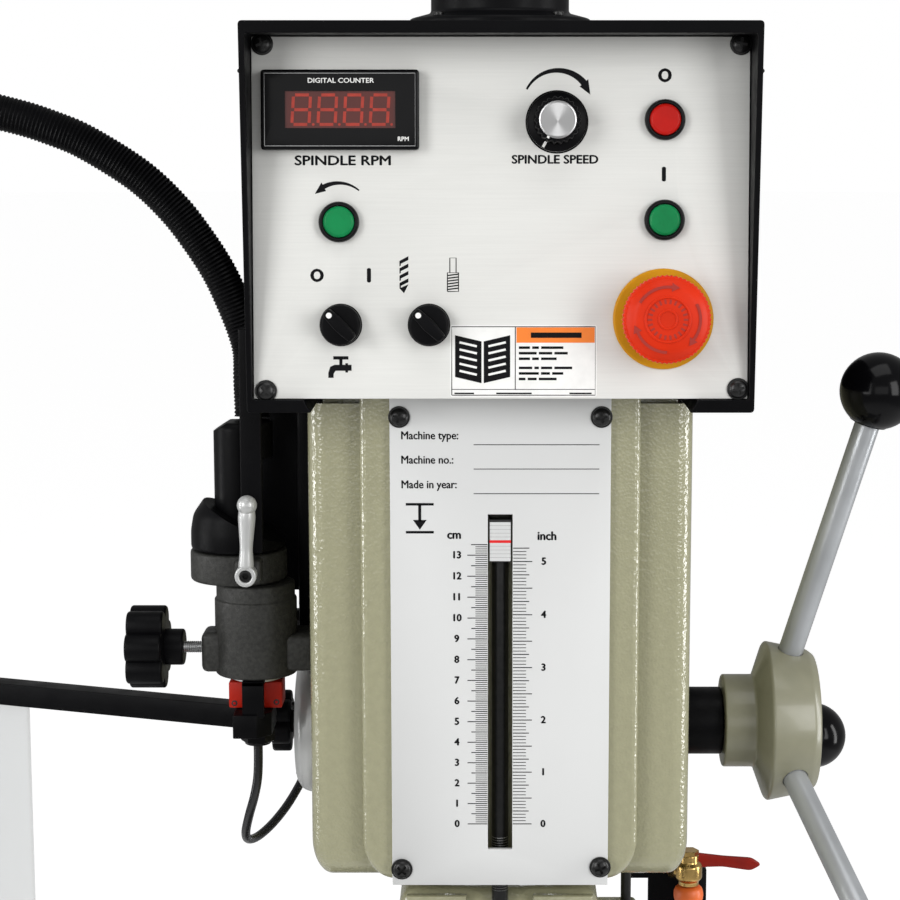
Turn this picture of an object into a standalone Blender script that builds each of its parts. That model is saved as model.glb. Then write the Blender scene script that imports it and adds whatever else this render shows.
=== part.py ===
"""Floor-standing drill press with a variable-speed drive, an operator's panel,
a chuck guard, a work lamp and a coolant tap.

All tables below are in millimetres and MM turns them into metres.  The world
origin is on the floor under the column's axis, with +X to the operator's right,
-Y towards the operator and +Z up.  Details of the head are placed in the head
frame, whose origin is the zero mark of the depth scale on the front plate.
Controls are placed on the panel by (across, up) from its lower edge's middle.
"""
import math

import bmesh
import bpy
from mathutils import Matrix, Vector

MM = 0.001
GAP = 0.3                     # clearance left between pieces that touch
WELD = 0.00001                # merge distance, metres

# Driving dimensions
COLUMN_R = 57.5
THROAT = 254.0                # column's surface to the spindle's axis
SPINDLE_Y = -(COLUMN_R + THROAT)
PLATE_Y = SPINDLE_Y - 62.0    # front face of the scale plate
ZERO_Z = 1275.0               # zero mark of the depth scale

# Base and column
BASE_HALF_W, BASE_FRONT, BASE_BACK, BASE_H = 215.0, -500.0, 170.0, 55.0
PAD_TOP = 63.0
FLANGE_TOP = 185.0
BORE_R = COLUMN_R + GAP
COLUMN_WALL = 8.0
COLUMN_TOP = ZERO_Z + 172
COLUMN_STEPS = 28

# Table group
TABLE_TOP, TABLE_THICK, TABLE_HALF = 860.0, 45.0, 205.0
TRUNNION_Z, TRUNNION_R, TRUNNION_Y = 753.0, 48.0, -180.0
RACK_MODULE, RACK_TEETH = 4.0, 9
RACK_SPAN = (255.0, 965.0)
RACK_BACK_Y, RACK_PITCH_Y = COLUMN_R + 0.8, COLUMN_R + 12.5
CRANK_Y = RACK_PITCH_Y + RACK_MODULE * RACK_TEETH / 2

# Head, in the head frame
HEAD_HALF_W, HEAD_BOTTOM, HEAD_BACK = 91.0, -31.0, 165.0
NECK_HALF_W, SHELF_BACK, SHELF_TOP = 84.0, 600.0, 206.0
SPINDLE = 62.0                # spindle axis behind the scale plate
QUILL_R, QUILL_LOW, QUILL_HIGH = 37.5, -75.0, 176.0
FEED_Y, FEED_Z = 106.0, 21.8  # feed shaft's axis
FEED_MODULE, FEED_TEETH = 2.5, 12
FEED_PITCH_R = FEED_MODULE * FEED_TEETH / 2
MOTOR_Y = 538.5

# Drive housing and its belt
HOOD_HALF_W, HOOD_LOW, HOOD_HIGH, HOOD_WALL = 114.2, 200.4, 373.5, 2.6
LIP_TOP, HOOD_CEILING = 206.3, 368.1
HOOD_FRONT_LOW, HOOD_FRONT_HIGH = -27.0, -40.0
SPINDLE_PULLEY_R, MOTOR_PULLEY_R, BELT_T = 54.0, 34.0, 6.0
BELT_LOW, BELT_HIGH = 243.0, 272.0

# Operator's panel
PANEL_LEAN = math.radians(4)
PANEL_LOW = (0.0, -25.0, 205.0)
PANEL_HALF_W, PANEL_V0, PANEL_V1, PANEL_T = 111.2, 1.6, 163.0, 3.0
BUTTON_R, BUTTON_HOLE_R = 6.9, 7.3
SPEED_KNOB = (25.1, 125.3)
SELECTORS = {"function_selector": (-71.8, 34.8), "tapping_selector": (-32.2, 34.8)}
BUTTONS = {"coolant_button": (-72.4, 80.8), "stop_button": (73.3, 126.2),
           "start_button": (73.3, 81.7)}
ESTOP, ESTOP_R = (73.0, 37.5), 19.6

# Feed handle: three arms that lean out from the hub
ARM_LEAN, ARM_LENGTH, ARM_R = 0.274, 184.0, 6.35
ARM_TURNS = (0.13, 2.179, 4.395)   # about the shaft, from straight up
HUB_X, BALL_R = 139.8, 19.4

# Left-hand group
GUARD_X, GUARD_Y = -121.0, 60.0
GUARD_YAW = math.radians(160.7)
GUARD_CORNER = 220.0          # guard's pivot to the shield's front wall
LAMP_X, LAMP_Y = -129.5, 64.0
LEVER_X, LEVER_Z = LAMP_X + 7.2, 114.2
CABLE_R = 2.3
CABLE_ROUTE = [(-121, 60, 23.6), (-121, 60, 14), (-121.6, 60.5, 4), (-123.6, 62, -6),
               (-126.8, 66, -17), (-129.4, 73, -28), (-129.2, 83, -35), (-125.4, 94, -37),
               (-119, 106, -34), (-112, 119, -27.5), (-105.5, 132, -18), (-100.5, 143, -7),
               (-96, 150, 1), (-92.9, 151.3, 3)]
NECK_FOOT = (-122.5, 70.0)    # the neck stands a little behind the lamp base's axis
NECK_ROUTE = [(*NECK_FOOT, 186.4), (-122.6, 71.5, 193), (-123.5, 76.5, 204),
              (-124.2, 82, 216), (-127.1, 84, 227.3), (-132.4, 84, 241.4),
              (-139.5, 84, 256.9), (-149.3, 84, 272.6), (-161.4, 84, 288.4),
              (-178.3, 84, 304.4), (-202.9, 84, 320), (-219.6, 84, 327.3),
              (-237.7, 84, 333.1), (-262, 84, 338), (-290, 84, 338.5), (-317, 84, 332),
              (-342, 84, 319)]
NECK_R = 8.9

# Coolant group
VALVE_X, VALVE_Y, VALVE_TOP = 103.7, 145.0, -64.0
VALVE_STEM = VALVE_TOP - 8.0   # height of the lever's axis
HOSE_ROUTE = [(103.7, 145, -82), (103.7, 145, -102), (102.8, 143, -126), (97.9, 138, -151),
              (88.6, 129, -178), (77, 118, -204), (65, 106, -228), (56, 98, -246)]
HOSE_R = 8.2
LEVER_DROOP = math.radians(-4)

COLOURS = {                   # colour, roughness, metallic
    "head_paint": ((0.36, 0.35, 0.24), 0.35, 0.0),
    "dark_iron": ((0.07, 0.07, 0.065), 0.8, 0.2),
    "black_paint": ((0.012, 0.012, 0.013), 0.45, 0.0),
    "black_plastic": ((0.015, 0.015, 0.016), 0.35, 0.0),
    "gloss_black": ((0.01, 0.01, 0.011), 0.12, 0.0),
    "machined_iron": ((0.35, 0.35, 0.34), 0.4, 0.9),
    "steel": ((0.45, 0.46, 0.48), 0.3, 1.0),
    "panel_aluminium": ((0.75, 0.75, 0.72), 0.4, 0.7),
    "cast_aluminium": ((0.5, 0.5, 0.5), 0.4, 0.9),
    "scale_plate": ((0.68, 0.69, 0.68), 0.35, 0.2),
    "signal_red": ((0.7, 0.02, 0.01), 0.3, 0.0),
    "signal_green": ((0.0, 0.3, 0.1), 0.3, 0.0),
    "switch_red": ((0.55, 0.04, 0.01), 0.4, 0.0),
    "brass": ((0.6, 0.4, 0.15), 0.3, 1.0),
    "hose_plastic": ((0.75, 0.2, 0.03), 0.4, 0.0),
    "belt_rubber": ((0.02, 0.02, 0.02), 0.8, 0.0),
    "clear_plastic": ((0.75, 0.78, 0.78), 0.1, 0.0),
    "motor_paint": ((0.05, 0.06, 0.07), 0.5, 0.0),
}


# ---------------------------------------------------------------- helpers

def new_collection(name):
    made = bpy.data.collections.new(name)
    bpy.context.scene.collection.children.link(made)
    return made


for old in list(bpy.data.objects):
    bpy.data.objects.remove(old, do_unlink=True)
PARTS = new_collection("drill_press")
CUTTERS = new_collection("cutters")


def material(name):
    found = bpy.data.materials.get(name)
    if found:
        return found
    colour, roughness, metallic = COLOURS[name]
    made = bpy.data.materials.new(name)
    made.use_nodes = True
    made.diffuse_color = (*colour, 1)
    shader = made.node_tree.nodes["Principled BSDF"]
    shader.inputs["Base Color"].default_value = (*colour, 1)
    shader.inputs["Roughness"].default_value = roughness
    shader.inputs["Metallic"].default_value = metallic
    return made


def head(x, y, z):
    """World point, in mm, of a point in the head frame."""
    return (x, PLATE_Y + y, ZERO_Z + z)


def facing(point, direction, side=(0, 0, 1)):
    """Frame at a point in mm whose local Z runs along a direction."""
    z = Vector(direction).normalized()
    x = Vector(side).cross(z)
    if x.length < 1e-6:
        x = Vector((1, 0, 0))
    x.normalize()
    turn = Matrix((x, z.cross(x), z)).transposed().to_4x4()
    return Matrix.Translation(Vector(point) * MM) @ turn


def panel_frame(across=0.0, up=0.0, out=0.0):
    """Frame on the panel's front face: local X across, Y up the panel, Z out."""
    lean = Vector((0, math.sin(PANEL_LEAN), math.cos(PANEL_LEAN)))
    normal = Vector((1, 0, 0)).cross(lean)
    turn = Matrix(((1, 0, 0), lean, normal)).transposed().to_4x4()
    origin = Vector(head(*PANEL_LOW)) * MM
    return Matrix.Translation(origin) @ turn @ Matrix.Translation(Vector((across, up, out)) * MM)


def place(obj, frame):
    CUTTERS.objects.link(obj)
    obj.location = frame.to_translation()
    obj.rotation_euler = frame.to_euler()
    obj.hide_render = True
    obj.display_type = "WIRE"
    return obj


def from_bmesh(bm, frame, name="tool"):
    mesh = bpy.data.meshes.new(name)
    bm.to_mesh(mesh)
    bm.free()
    return place(bpy.data.objects.new(name, mesh), frame)


def bevel(obj, width, segments=2):
    rounding = obj.modifiers.new("rounding", "BEVEL")
    rounding.width = width * MM
    rounding.segments = segments
    rounding.limit_method = "ANGLE"
    return obj


def block(low, high, rounded=0.0, segments=2, frame=Matrix.Identity(4)):
    """A box between two corners, given in mm in the frame."""
    low, high = Vector(low), Vector(high)
    bm = bmesh.new()
    bmesh.ops.create_cube(bm, size=1)
    bmesh.ops.scale(bm, vec=(high - low) * MM, verts=bm.verts)
    made = from_bmesh(bm, frame @ Matrix.Translation((low + high) * MM / 2))
    return bevel(made, rounded, segments) if rounded else made


def head_block(low, high, rounded=0.0, segments=2):
    return block(head(*low), head(*high), rounded, segments)


def rod(radius, start, end, steps=14):
    """A cylinder between two points in mm."""
    start, end = Vector(start), Vector(end)
    bm = bmesh.new()
    bmesh.ops.create_cone(bm, cap_ends=True, segments=steps, radius1=radius * MM,
                          radius2=radius * MM, depth=(end - start).length * MM)
    made = from_bmesh(bm, facing((start + end) / 2, end - start))
    made.data.shade_smooth()
    made.data.set_sharp_from_angle(angle=math.radians(40))
    return made


def bore(radius, start, end, steps=14):
    """A cutter whose flats, not its corners, lie at the radius."""
    return rod(radius / math.cos(math.pi / steps), start, end, steps)


def ball(radius, centre, steps=12):
    bm = bmesh.new()
    bmesh.ops.create_uvsphere(bm, u_segments=steps, v_segments=steps * 5 // 8,
                              radius=radius * MM)
    made = from_bmesh(bm, facing(centre, (0, 0, 1)))
    made.data.shade_smooth()
    return made


def turned(profile, frame, steps=18, ring=False):
    """A turned shape from (radius, height) points, from its top down its outside."""
    mesh = bpy.data.meshes.new("profile")
    points = [(r * MM, 0, z * MM) for r, z in profile]
    edges = [(i, i + 1) for i in range(len(points) - 1)]
    if ring:
        edges.append((len(points) - 1, 0))
    mesh.from_pydata(points, edges, [])
    made = place(bpy.data.objects.new("turned", mesh), frame)
    screw = made.modifiers.new("turn", "SCREW")
    screw.steps = screw.render_steps = steps
    screw.use_merge_vertices = True
    screw.merge_threshold = WELD
    screw.use_smooth_shade = True
    return made


def slab(outline, thickness, frame):
    """A closed outline in mm, extruded by a thickness centred on its plane."""
    bm = bmesh.new()
    rim = [bm.verts.new((x * MM, y * MM, -thickness * MM / 2)) for x, y in outline]
    sheet = bm.faces.new(rim)
    raised = bmesh.ops.extrude_face_region(bm, geom=[sheet])["geom"]
    corners = [v for v in raised if isinstance(v, bmesh.types.BMVert)]
    bmesh.ops.translate(bm, verts=corners, vec=(0, 0, thickness * MM))
    bmesh.ops.recalc_face_normals(bm, faces=bm.faces)
    return from_bmesh(bm, frame)


def smooth_points(route, spacing):
    """Points along a Catmull-Rom curve through a route, about a spacing apart."""
    knots = [Vector(p) for p in route]
    knots = [2 * knots[0] - knots[1]] + knots + [2 * knots[-1] - knots[-2]]
    points = []
    for a, b, c, d in zip(knots, knots[1:], knots[2:], knots[3:]):
        count = max(1, round((c - b).length / spacing))
        for i in range(count):
            t = i / count
            points.append(((2 * b) + (c - a) * t + (2 * a - 5 * b + 4 * c - d) * t * t
                           + (3 * b - a - 3 * c + d) * t ** 3) / 2)
    points.append(knots[-2])
    return points


def tube(route, radius, spacing, resolution=2):
    curve = bpy.data.curves.new("tube", "CURVE")
    curve.dimensions = "3D"
    curve.bevel_depth = radius * MM
    curve.bevel_resolution = resolution
    curve.use_fill_caps = True
    points = smooth_points([head(*p) for p in route], spacing)
    spline = curve.splines.new("POLY")
    spline.points.add(len(points) - 1)
    for knot, point in zip(spline.points, points):
        knot.co = (*(point * MM), 1)
    return place(bpy.data.objects.new("tube", curve), Matrix.Identity(4))


def boolean(obj, operation, tools):
    for tool in tools:
        step = obj.modifiers.new(operation.lower(), "BOOLEAN")
        step.operation = operation
        step.solver = "EXACT"
        step.object = tool
    return obj


def cut(obj, *tools):
    return boolean(obj, "DIFFERENCE", tools)


def join(obj, *tools):
    return boolean(obj, "UNION", tools)


def part(name, obj, finish, axis=None):
    """Makes an object one of the parts; a moving one hangs from its joint's empty."""
    CUTTERS.objects.unlink(obj)
    PARTS.objects.link(obj)
    obj.name = name
    obj.data.name = name
    obj.hide_render = False
    obj.display_type = "TEXTURED"
    obj.data.materials.clear()
    obj.data.materials.append(material(finish))
    if axis:
        obj.parent = axis
        obj.matrix_parent_inverse = Matrix.Translation(-axis.location)
    return obj


def joint_axis(name, point, parent=None):
    empty = bpy.data.objects.new(name, None)
    PARTS.objects.link(empty)
    empty.empty_display_size = 0.03
    empty.location = Vector(point) * MM
    if parent:
        empty.parent = parent
        empty.matrix_parent_inverse = Matrix.Translation(-parent.location)
    return empty


def lobed_outline(radius, depth, lobes, steps_per_lobe=4):
    count = lobes * steps_per_lobe
    turns = [2 * math.pi * i / count for i in range(count)]
    return [((radius - depth / 2 + depth / 2 * math.cos(lobes * t)) * math.cos(t),
             (radius - depth / 2 + depth / 2 * math.cos(lobes * t)) * math.sin(t))
            for t in turns]


def circle_outline(radius, centre=(0, 0), steps=32, start=0.0, end=2 * math.pi, closed=True):
    count = steps if closed else steps + 1
    return [(centre[0] + radius * math.cos(start + (end - start) * i / steps),
             centre[1] + radius * math.sin(start + (end - start) * i / steps))
            for i in range(count)]


# ------------------------------------------------------- racks and pinions

PRESSURE = math.radians(20)
BACKLASH = 0.5
PINION_ADDENDUM = 0.9
ROOT_CLEARANCE = 0.2


def rack_addendum(module, teeth):
    """The tallest rack tooth that a pinion meets without an undercut."""
    return module * teeth * math.sin(PRESSURE) ** 2 / 2


def pinion_outline(module, teeth):
    """Involute pinion with a tooth centred on local -Y."""
    pitch_r = module * teeth / 2
    base_r = pitch_r * math.cos(PRESSURE)
    tip_r = pitch_r + PINION_ADDENDUM * module
    root_r = pitch_r - rack_addendum(module, teeth) - ROOT_CLEARANCE * module

    def half_angle(radius):
        spread = math.sqrt(max(0.0, (radius / base_r) ** 2 - 1))
        involute = spread - math.atan(spread)
        at_pitch = math.tan(PRESSURE) - PRESSURE
        thick = (math.pi * module / 2 - BACKLASH) / (2 * pitch_r)
        return thick + at_pitch - involute

    radii = [root_r, max(base_r, root_r + 0.1), (base_r + tip_r) / 2, tip_r]
    points = []
    for tooth in range(teeth):
        middle = -math.pi / 2 + 2 * math.pi * tooth / teeth
        flank = [(r, half_angle(max(r, base_r))) for r in radii]
        points += [(r * math.cos(middle - a), r * math.sin(middle - a)) for r, a in flank]
        points += [(r * math.cos(middle + a), r * math.sin(middle + a))
                   for r, a in reversed(flank)]
    return points


def rack_teeth(module, teeth, low, high, gap_centre):
    """Points (depth, height) up a rack's toothed edge, with a gap at gap_centre.

    Depth is measured out of the rack from its pitch line.
    """
    pitch = math.pi * module
    out = rack_addendum(module, teeth)
    root = -(PINION_ADDENDUM + ROOT_CLEARANCE) * module
    half_gap = pitch / 4 + BACKLASH / 4
    slope = math.tan(PRESSURE)
    first = math.ceil((low - gap_centre) / pitch + 0.5)
    last = math.floor((high - gap_centre) / pitch - 0.5)
    points = []
    for k in range(first, last + 1):
        z = gap_centre + k * pitch
        points += [(out, z - half_gap - out * slope), (root, z - half_gap - root * slope),
                   (root, z + half_gap + root * slope), (out, z + half_gap + out * slope)]
    return points


# ------------------------------------------------------------ base, column

def t_slot(low, high, top, along):
    """Cutters of a T-slot centred between two points of one line."""
    throat, undercut, throat_deep, under_deep = 7.0, 12.0, 14.0, 10.0
    side = Vector((0, 1, 0)) if along == "X" else Vector((1, 0, 0))
    start, end = Vector((*low, 0)), Vector((*high, 0))
    up = Vector((0, 0, 1))
    narrow = block(start - side * throat + up * (top - throat_deep),
                   end + side * throat + up * (top + 2))
    wide = block(start - side * undercut + up * (top - throat_deep - under_deep),
                 end + side * undercut + up * (top - throat_deep + 0.1))
    return narrow, wide


def base():
    made = block((-BASE_HALF_W, BASE_FRONT, 0), (BASE_HALF_W, BASE_BACK, BASE_H), 10, 1)
    join(made, block((-170, -480, 40), (170, -135, PAD_TOP)))
    for x in (-85, 85):
        cut(made, *t_slot((x, -520), (x, -130), PAD_TOP, "Y"))
    for x in (-190, 190):
        for y in (-465, 135):
            cut(made, rod(7, (x, y, -5), (x, y, 70), 10))
    part("base", made, "dark_iron")


def column():
    foot = [(BORE_R, FLANGE_TOP), (74, FLANGE_TOP), (76, FLANGE_TOP - 2), (76, 104),
            (86, 82), (114, 75), (116, BASE_H + GAP), (BORE_R, BASE_H + GAP)]
    part("column_flange", turned(foot, facing((0, 0, 0), (0, 0, 1)), COLUMN_STEPS, ring=True),
         "dark_iron")
    inner = COLUMN_R - COLUMN_WALL
    wall = [(inner, COLUMN_TOP), (COLUMN_R, COLUMN_TOP), (COLUMN_R, BASE_H + GAP),
            (inner, BASE_H + GAP)]
    part("column", turned(wall, facing((0, 0, 0), (0, 0, 1)), COLUMN_STEPS, ring=True), "steel")


# ------------------------------------------------------------- table group

def column_rack(axis):
    low, high = RACK_SPAN
    teeth = rack_teeth(RACK_MODULE, RACK_TEETH, low, high, TRUNNION_Z)
    face = rack_addendum(RACK_MODULE, RACK_TEETH)
    edge = [(face, low)] + teeth + [(face, high)]
    outline = [(RACK_BACK_Y, low)] + [(RACK_PITCH_Y + d, z) for d, z in edge]
    outline.append((RACK_BACK_Y, high))
    frame = Matrix(((0, 0, 1, 0), (1, 0, 0, 0), (0, 1, 0, 0), (0, 0, 0, 1)))
    part("column_rack", slab(outline, 22, frame), "steel", axis)


def table_arm(axis):
    z = TRUNNION_Z
    made = turned([(BORE_R, 65), (80, 65), (82, 63), (82, -63), (80, -65), (BORE_R, -65)],
                  facing((0, 0, z), (0, 0, 1)), COLUMN_STEPS, ring=True)
    join(made, block((-30, 62, z - 30), (34, 118, z + 30), 4),
         rod(TRUNNION_R, (0, -64, z), (0, TRUNNION_Y, z), 20),
         block((-104, -18, z - 20), (-70, 18, z + 20), 4))
    cut(made, bore(BORE_R, (0, 0, z - 90), (0, 0, z + 90), COLUMN_STEPS),
        block((-11.5, 50, z - 90), (11.5, 74, z + 90)),
        bore(CRANK_Y - RACK_PITCH_Y + 4.4, (-13, CRANK_Y, z), (40, CRANK_Y, z)),
        bore(12.3, (0, TRUNNION_Y - 5, z), (0, -122, z)))
    part("table_arm", made, "dark_iron", axis)


def work_table(axis):
    y, half = SPINDLE_Y, TABLE_HALF
    low = TABLE_TOP - TABLE_THICK
    made = block((-210, y - half, low), (210, y + half, TABLE_TOP), 5)
    cut(made, block((-192, y - half + 18, low - 5), (192, y + half - 18, low + 16)))
    front = y + 31.5
    back = TRUNNION_Y - GAP
    join(made, rod(TRUNNION_R, (0, back, TRUNNION_Z), (0, front, TRUNNION_Z), 20),
         block((-40, front, TRUNNION_Z), (40, back, low + 20)),
         rod(12, (0, back - 20, TRUNNION_Z), (0, -126, TRUNNION_Z)),
         rod(44, (0, y, low + 1), (0, y, low + 20), 18))
    cut(made, rod(24, (0, y, low - 10), (0, y, TABLE_TOP + 5), 18))
    for side in (-1, 1):
        cut(made, *t_slot((-230, y + side * 105), (230, y + side * 105), TABLE_TOP, "X"))
    part("work_table", made, "machined_iron", axis)


def table_crank(axis):
    z, y = TRUNNION_Z, CRANK_Y
    frame = Matrix.Translation(Vector((0, y, z)) * MM) @ Matrix(
        ((0, 0, 1, 0), (0, 1, 0, 0), (-1, 0, 0, 0), (0, 0, 0, 1)))
    made = slab(pinion_outline(RACK_MODULE, RACK_TEETH), 22, frame)
    join(made, rod(8, (-5, y, z), (60, y, z)), rod(15, (34 + GAP, y, z), (104, y, z)),
         block((92, y - 10, z - 104), (101, y + 10, z), 3),
         turned([(0, 82), (10, 80), (14, 70), (13, 20), (8, 5), (8, -8), (0, -8)],
                facing((100, y, z - 92), (1, 0, 0)), 12))
    part("table_crank", made, "steel", axis)


def table_lock(axis):
    z = TRUNNION_Z
    made = rod(11, (-104 - GAP, 0, z), (-124, 0, z))
    join(made, rod(5, (-116, 0, z - 66), (-116, 0, z + 66), 8),
         ball(9, (-116, 0, z + 66), 8), ball(9, (-116, 0, z - 66), 8))
    part("table_lock_lever", made, "gloss_black", axis)


# -------------------------------------------------------------------- head

def casting_front(half, low, high, depth, corner, radius):
    """A box with elliptical lower corners and a rounded front edge, in the head frame."""
    steps = 3
    loops = []
    for i in range(steps + 1):
        turn = math.pi / 2 * i / steps
        loops.append((radius * (1 - math.sin(turn)), depth[0] + radius * (1 - math.cos(turn))))
    loops.append((0, depth[1]))
    bm = bmesh.new()
    rings = []
    for inset, y in loops:
        wide, tall = corner[0] - inset, corner[1] - inset
        side, bottom = half - inset, low + inset
        left = []
        for i in range(steps + 2):
            turn = math.pi / 2 * i / (steps + 1)
            left.append((-side + wide * (1 - math.cos(turn)),
                         bottom + tall * (1 - math.sin(turn))))
        outline = [(-side, high)] + left
        outline += [(-x, z) for x, z in reversed(outline)]
        rings.append([bm.verts.new(Vector(head(x, y, z)) * MM) for x, z in outline])
    for near, far in zip(rings, rings[1:]):
        for i, vert in enumerate(near):
            after = (i + 1) % len(near)
            bm.faces.new((vert, near[after], far[after], far[i]))
    bm.faces.new(rings[0])
    bm.faces.new(rings[-1])
    bmesh.ops.recalc_face_normals(bm, faces=bm.faces)
    return from_bmesh(bm, Matrix.Identity(4))


def head_casting():
    body = casting_front(HEAD_HALF_W, HEAD_BOTTOM, 199.8, (12, HEAD_BACK), (10, 17.5), 9)
    front = casting_front(65.5, -29, SHELF_TOP, (3 + GAP, 80), (15.5, 19), 3.5)
    sleeve_low, sleeve_high = head(0, 0, -60)[2], head(0, 0, 199)[2]
    join(body, front, head_block((-NECK_HALF_W, 20, 192), (NECK_HALF_W, SHELF_BACK, SHELF_TOP)),
         head_block((-58, 150, -10), (58, 320, 198)),
         rod(84, (0, 0, sleeve_low), (0, 0, sleeve_high), COLUMN_STEPS))
    cut(body, bore(QUILL_R + GAP, head(0, SPINDLE, -50), head(0, SPINDLE, 186), 20),
        rod(26, head(0, SPINDLE, 150), head(0, SPINDLE, 215), 16),
        bore(BORE_R, (0, 0, ZERO_Z - 80), (0, 0, COLUMN_TOP + 3), COLUMN_STEPS),
        head_block((-8, -5, -50), (8, 17, 160)),
        bore(10.3, head(-100, FEED_Y, FEED_Z), head(100, FEED_Y, FEED_Z)),
        bore(FEED_PITCH_R + 3, head(-16, FEED_Y, FEED_Z), head(100, FEED_Y, FEED_Z), 16),
        rod(34, head(0, MOTOR_Y, 180), head(0, MOTOR_Y, 215), 16),
        head_block((-44, 178, -40), (44, 296, 178)))
    for side in (-1, 1):
        inner, outer = sorted((side * 46, side * 79))
        cut(body, head_block((inner, 26, -50), (outer, 150, 184)))
    part("head_casting", body, "head_paint")


def front_plate():
    made = head_block((-51.35, 0, -30.3), (51.35, 3, 205.5))
    cut(made, head_block((-5.8, -5, -12.7), (5.8, 10, 149.3)))
    part("scale_plate", made, "scale_plate")


def hood_outline(inset, front):
    """Plan of the drive housing: straight sides and a round end about the motor."""
    half = HOOD_HALF_W - inset
    arc = circle_outline(half, (0, MOTOR_Y), 14, 0, math.pi, closed=False)
    return [(half, front)] + arc + [(-half, front)]


def drive_housing():
    middle = Vector(head(0, 0, 0)) * MM

    def storey(inset, front, low, high):
        frame = Matrix.Translation(middle + Vector((0, 0, (low + high) / 2 * MM)))
        return slab(hood_outline(inset, front), high - low, frame)

    made = bevel(storey(0, HOOD_FRONT_HIGH - 30, HOOD_LOW, HOOD_HIGH), 2, 1)
    lean = math.atan2(HOOD_FRONT_LOW - HOOD_FRONT_HIGH, HOOD_HIGH - HOOD_LOW)
    corner = Matrix.Translation(Vector(head(0, HOOD_FRONT_LOW, HOOD_LOW)) * MM)
    before = block((-150, -90, -60), (150, 0, 260), frame=corner @ Matrix.Rotation(lean, 4, "X"))
    slot = [(NECK_HALF_W + GAP, HOOD_LOW - 2), (88.9, LIP_TOP), (88.9, LIP_TOP + 3),
            (-88.9, LIP_TOP + 3), (-88.9, LIP_TOP), (-NECK_HALF_W - GAP, HOOD_LOW - 2)]
    length = SHELF_BACK + 1 + 80
    across = Matrix.Translation(middle + Vector((0, (SHELF_BACK + 1 - length / 2) * MM, 0)))
    upright = Matrix.Rotation(math.radians(90), 4, "X")
    cut(made, storey(HOOD_WALL, HOOD_FRONT_HIGH - 60, LIP_TOP, HOOD_CEILING), before,
        slab(slot, length, across @ upright),
        rod(29, head(0, SPINDLE, 360), head(0, SPINDLE, 380), 16))
    part("drive_housing", made, "black_paint")


def spindle_cap():
    profile = [(0, 448), (25, 448), (31, 446), (33, 441), (33, 387), (43.5, 378), (43.5, 373.8),
               (29.5, 373.8), (29.5, 440), (0, 440)]
    part("spindle_cap", turned(profile, facing(head(0, SPINDLE, 0), (0, 0, 1))), "black_plastic")


def motor():
    profile = [(0, 140), (9.8, 140), (9.8, 191.7), (79, 191.7), (80, 190), (80, 178),
               (72, 174), (72, -38), (76, -40), (76, -92), (70, -98), (0, -98)]
    made = turned(profile, facing(head(0, MOTOR_Y, 0), (0, 0, 1)))
    join(made, head_block((-44, MOTOR_Y + 55, 20), (44, MOTOR_Y + 112, 116), 4))
    part("motor", made, "motor_paint")


def pulleys(spindle_axis, motor_axis):
    rim, low, high = SPINDLE_PULLEY_R, BELT_LOW - 2, BELT_HIGH + 2
    flange = rim + 4
    profile = [(12.3, 312), (20, 312), (22, 310), (22, high + 3), (flange, high + 3),
               (flange, high), (rim, high), (rim, low), (flange, low), (flange, low - 3),
               (22, low - 3), (22, 190), (12.3, 190)]
    made = turned(profile, facing(head(0, SPINDLE, 0), (0, 0, 1)), ring=True)
    part("spindle_pulley", made, "cast_aluminium", spindle_axis)
    rim = MOTOR_PULLEY_R
    flange = rim + 4
    profile = [(0, 288), (16, 288), (18, 286), (18, high + 3), (flange, high + 3),
               (flange, high), (rim, high), (rim, low), (flange, low), (flange, low - 3),
               (18, low - 3), (18, 214), (9.5, 214), (9.5, 150), (0, 150)]
    made = turned(profile, facing(head(0, MOTOR_Y, 0), (0, 0, 1)))
    part("motor_pulley", made, "cast_aluminium", motor_axis)


def drive_belt():
    distance = MOTOR_Y - SPINDLE

    def loop(extra):
        front, back = SPINDLE_PULLEY_R + extra, MOTOR_PULLEY_R + extra
        dip = math.asin((front - back) / distance)
        start = circle_outline(front, (0, SPINDLE), 18, math.pi - dip, 2 * math.pi + dip, False)
        end = circle_outline(back, (0, MOTOR_Y), 12, dip, math.pi - dip, False)
        return start + end

    frame = Matrix.Translation(Vector(head(0, 0, (BELT_LOW + BELT_HIGH) / 2)) * MM)
    width = BELT_HIGH - BELT_LOW
    belt = cut(slab(loop(GAP + BELT_T), width, frame), slab(loop(GAP), width + 10, frame))
    part("drive_belt", belt, "belt_rubber")


# --------------------------------------------------------- quill, spindle

def quill(axis):
    made = turned([(20.3, QUILL_HIGH), (QUILL_R, QUILL_HIGH), (QUILL_R, QUILL_LOW),
                   (20.3, QUILL_LOW)], facing(head(0, SPINDLE, 0), (0, 0, 1)), 20, ring=True)
    pitch_line = FEED_Y - SPINDLE - FEED_PITCH_R
    low, high = -22, QUILL_HIGH
    teeth = rack_teeth(FEED_MODULE, FEED_TEETH, low, high, FEED_Z)
    face = rack_addendum(FEED_MODULE, FEED_TEETH)
    edge = [(face, low)] + teeth + [(face, high + 5)]
    outline = [(60, low)] + [(pitch_line + d, z) for d, z in edge] + [(60, high + 5)]
    frame = Matrix.Translation(Vector(head(0, SPINDLE, 0)) * MM) @ Matrix(
        ((0, 0, 1, 0), (1, 0, 0, 0), (0, 1, 0, 0), (0, 0, 0, 1)))
    part("quill", cut(made, slab(outline, 90, frame)), "steel", axis)


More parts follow.
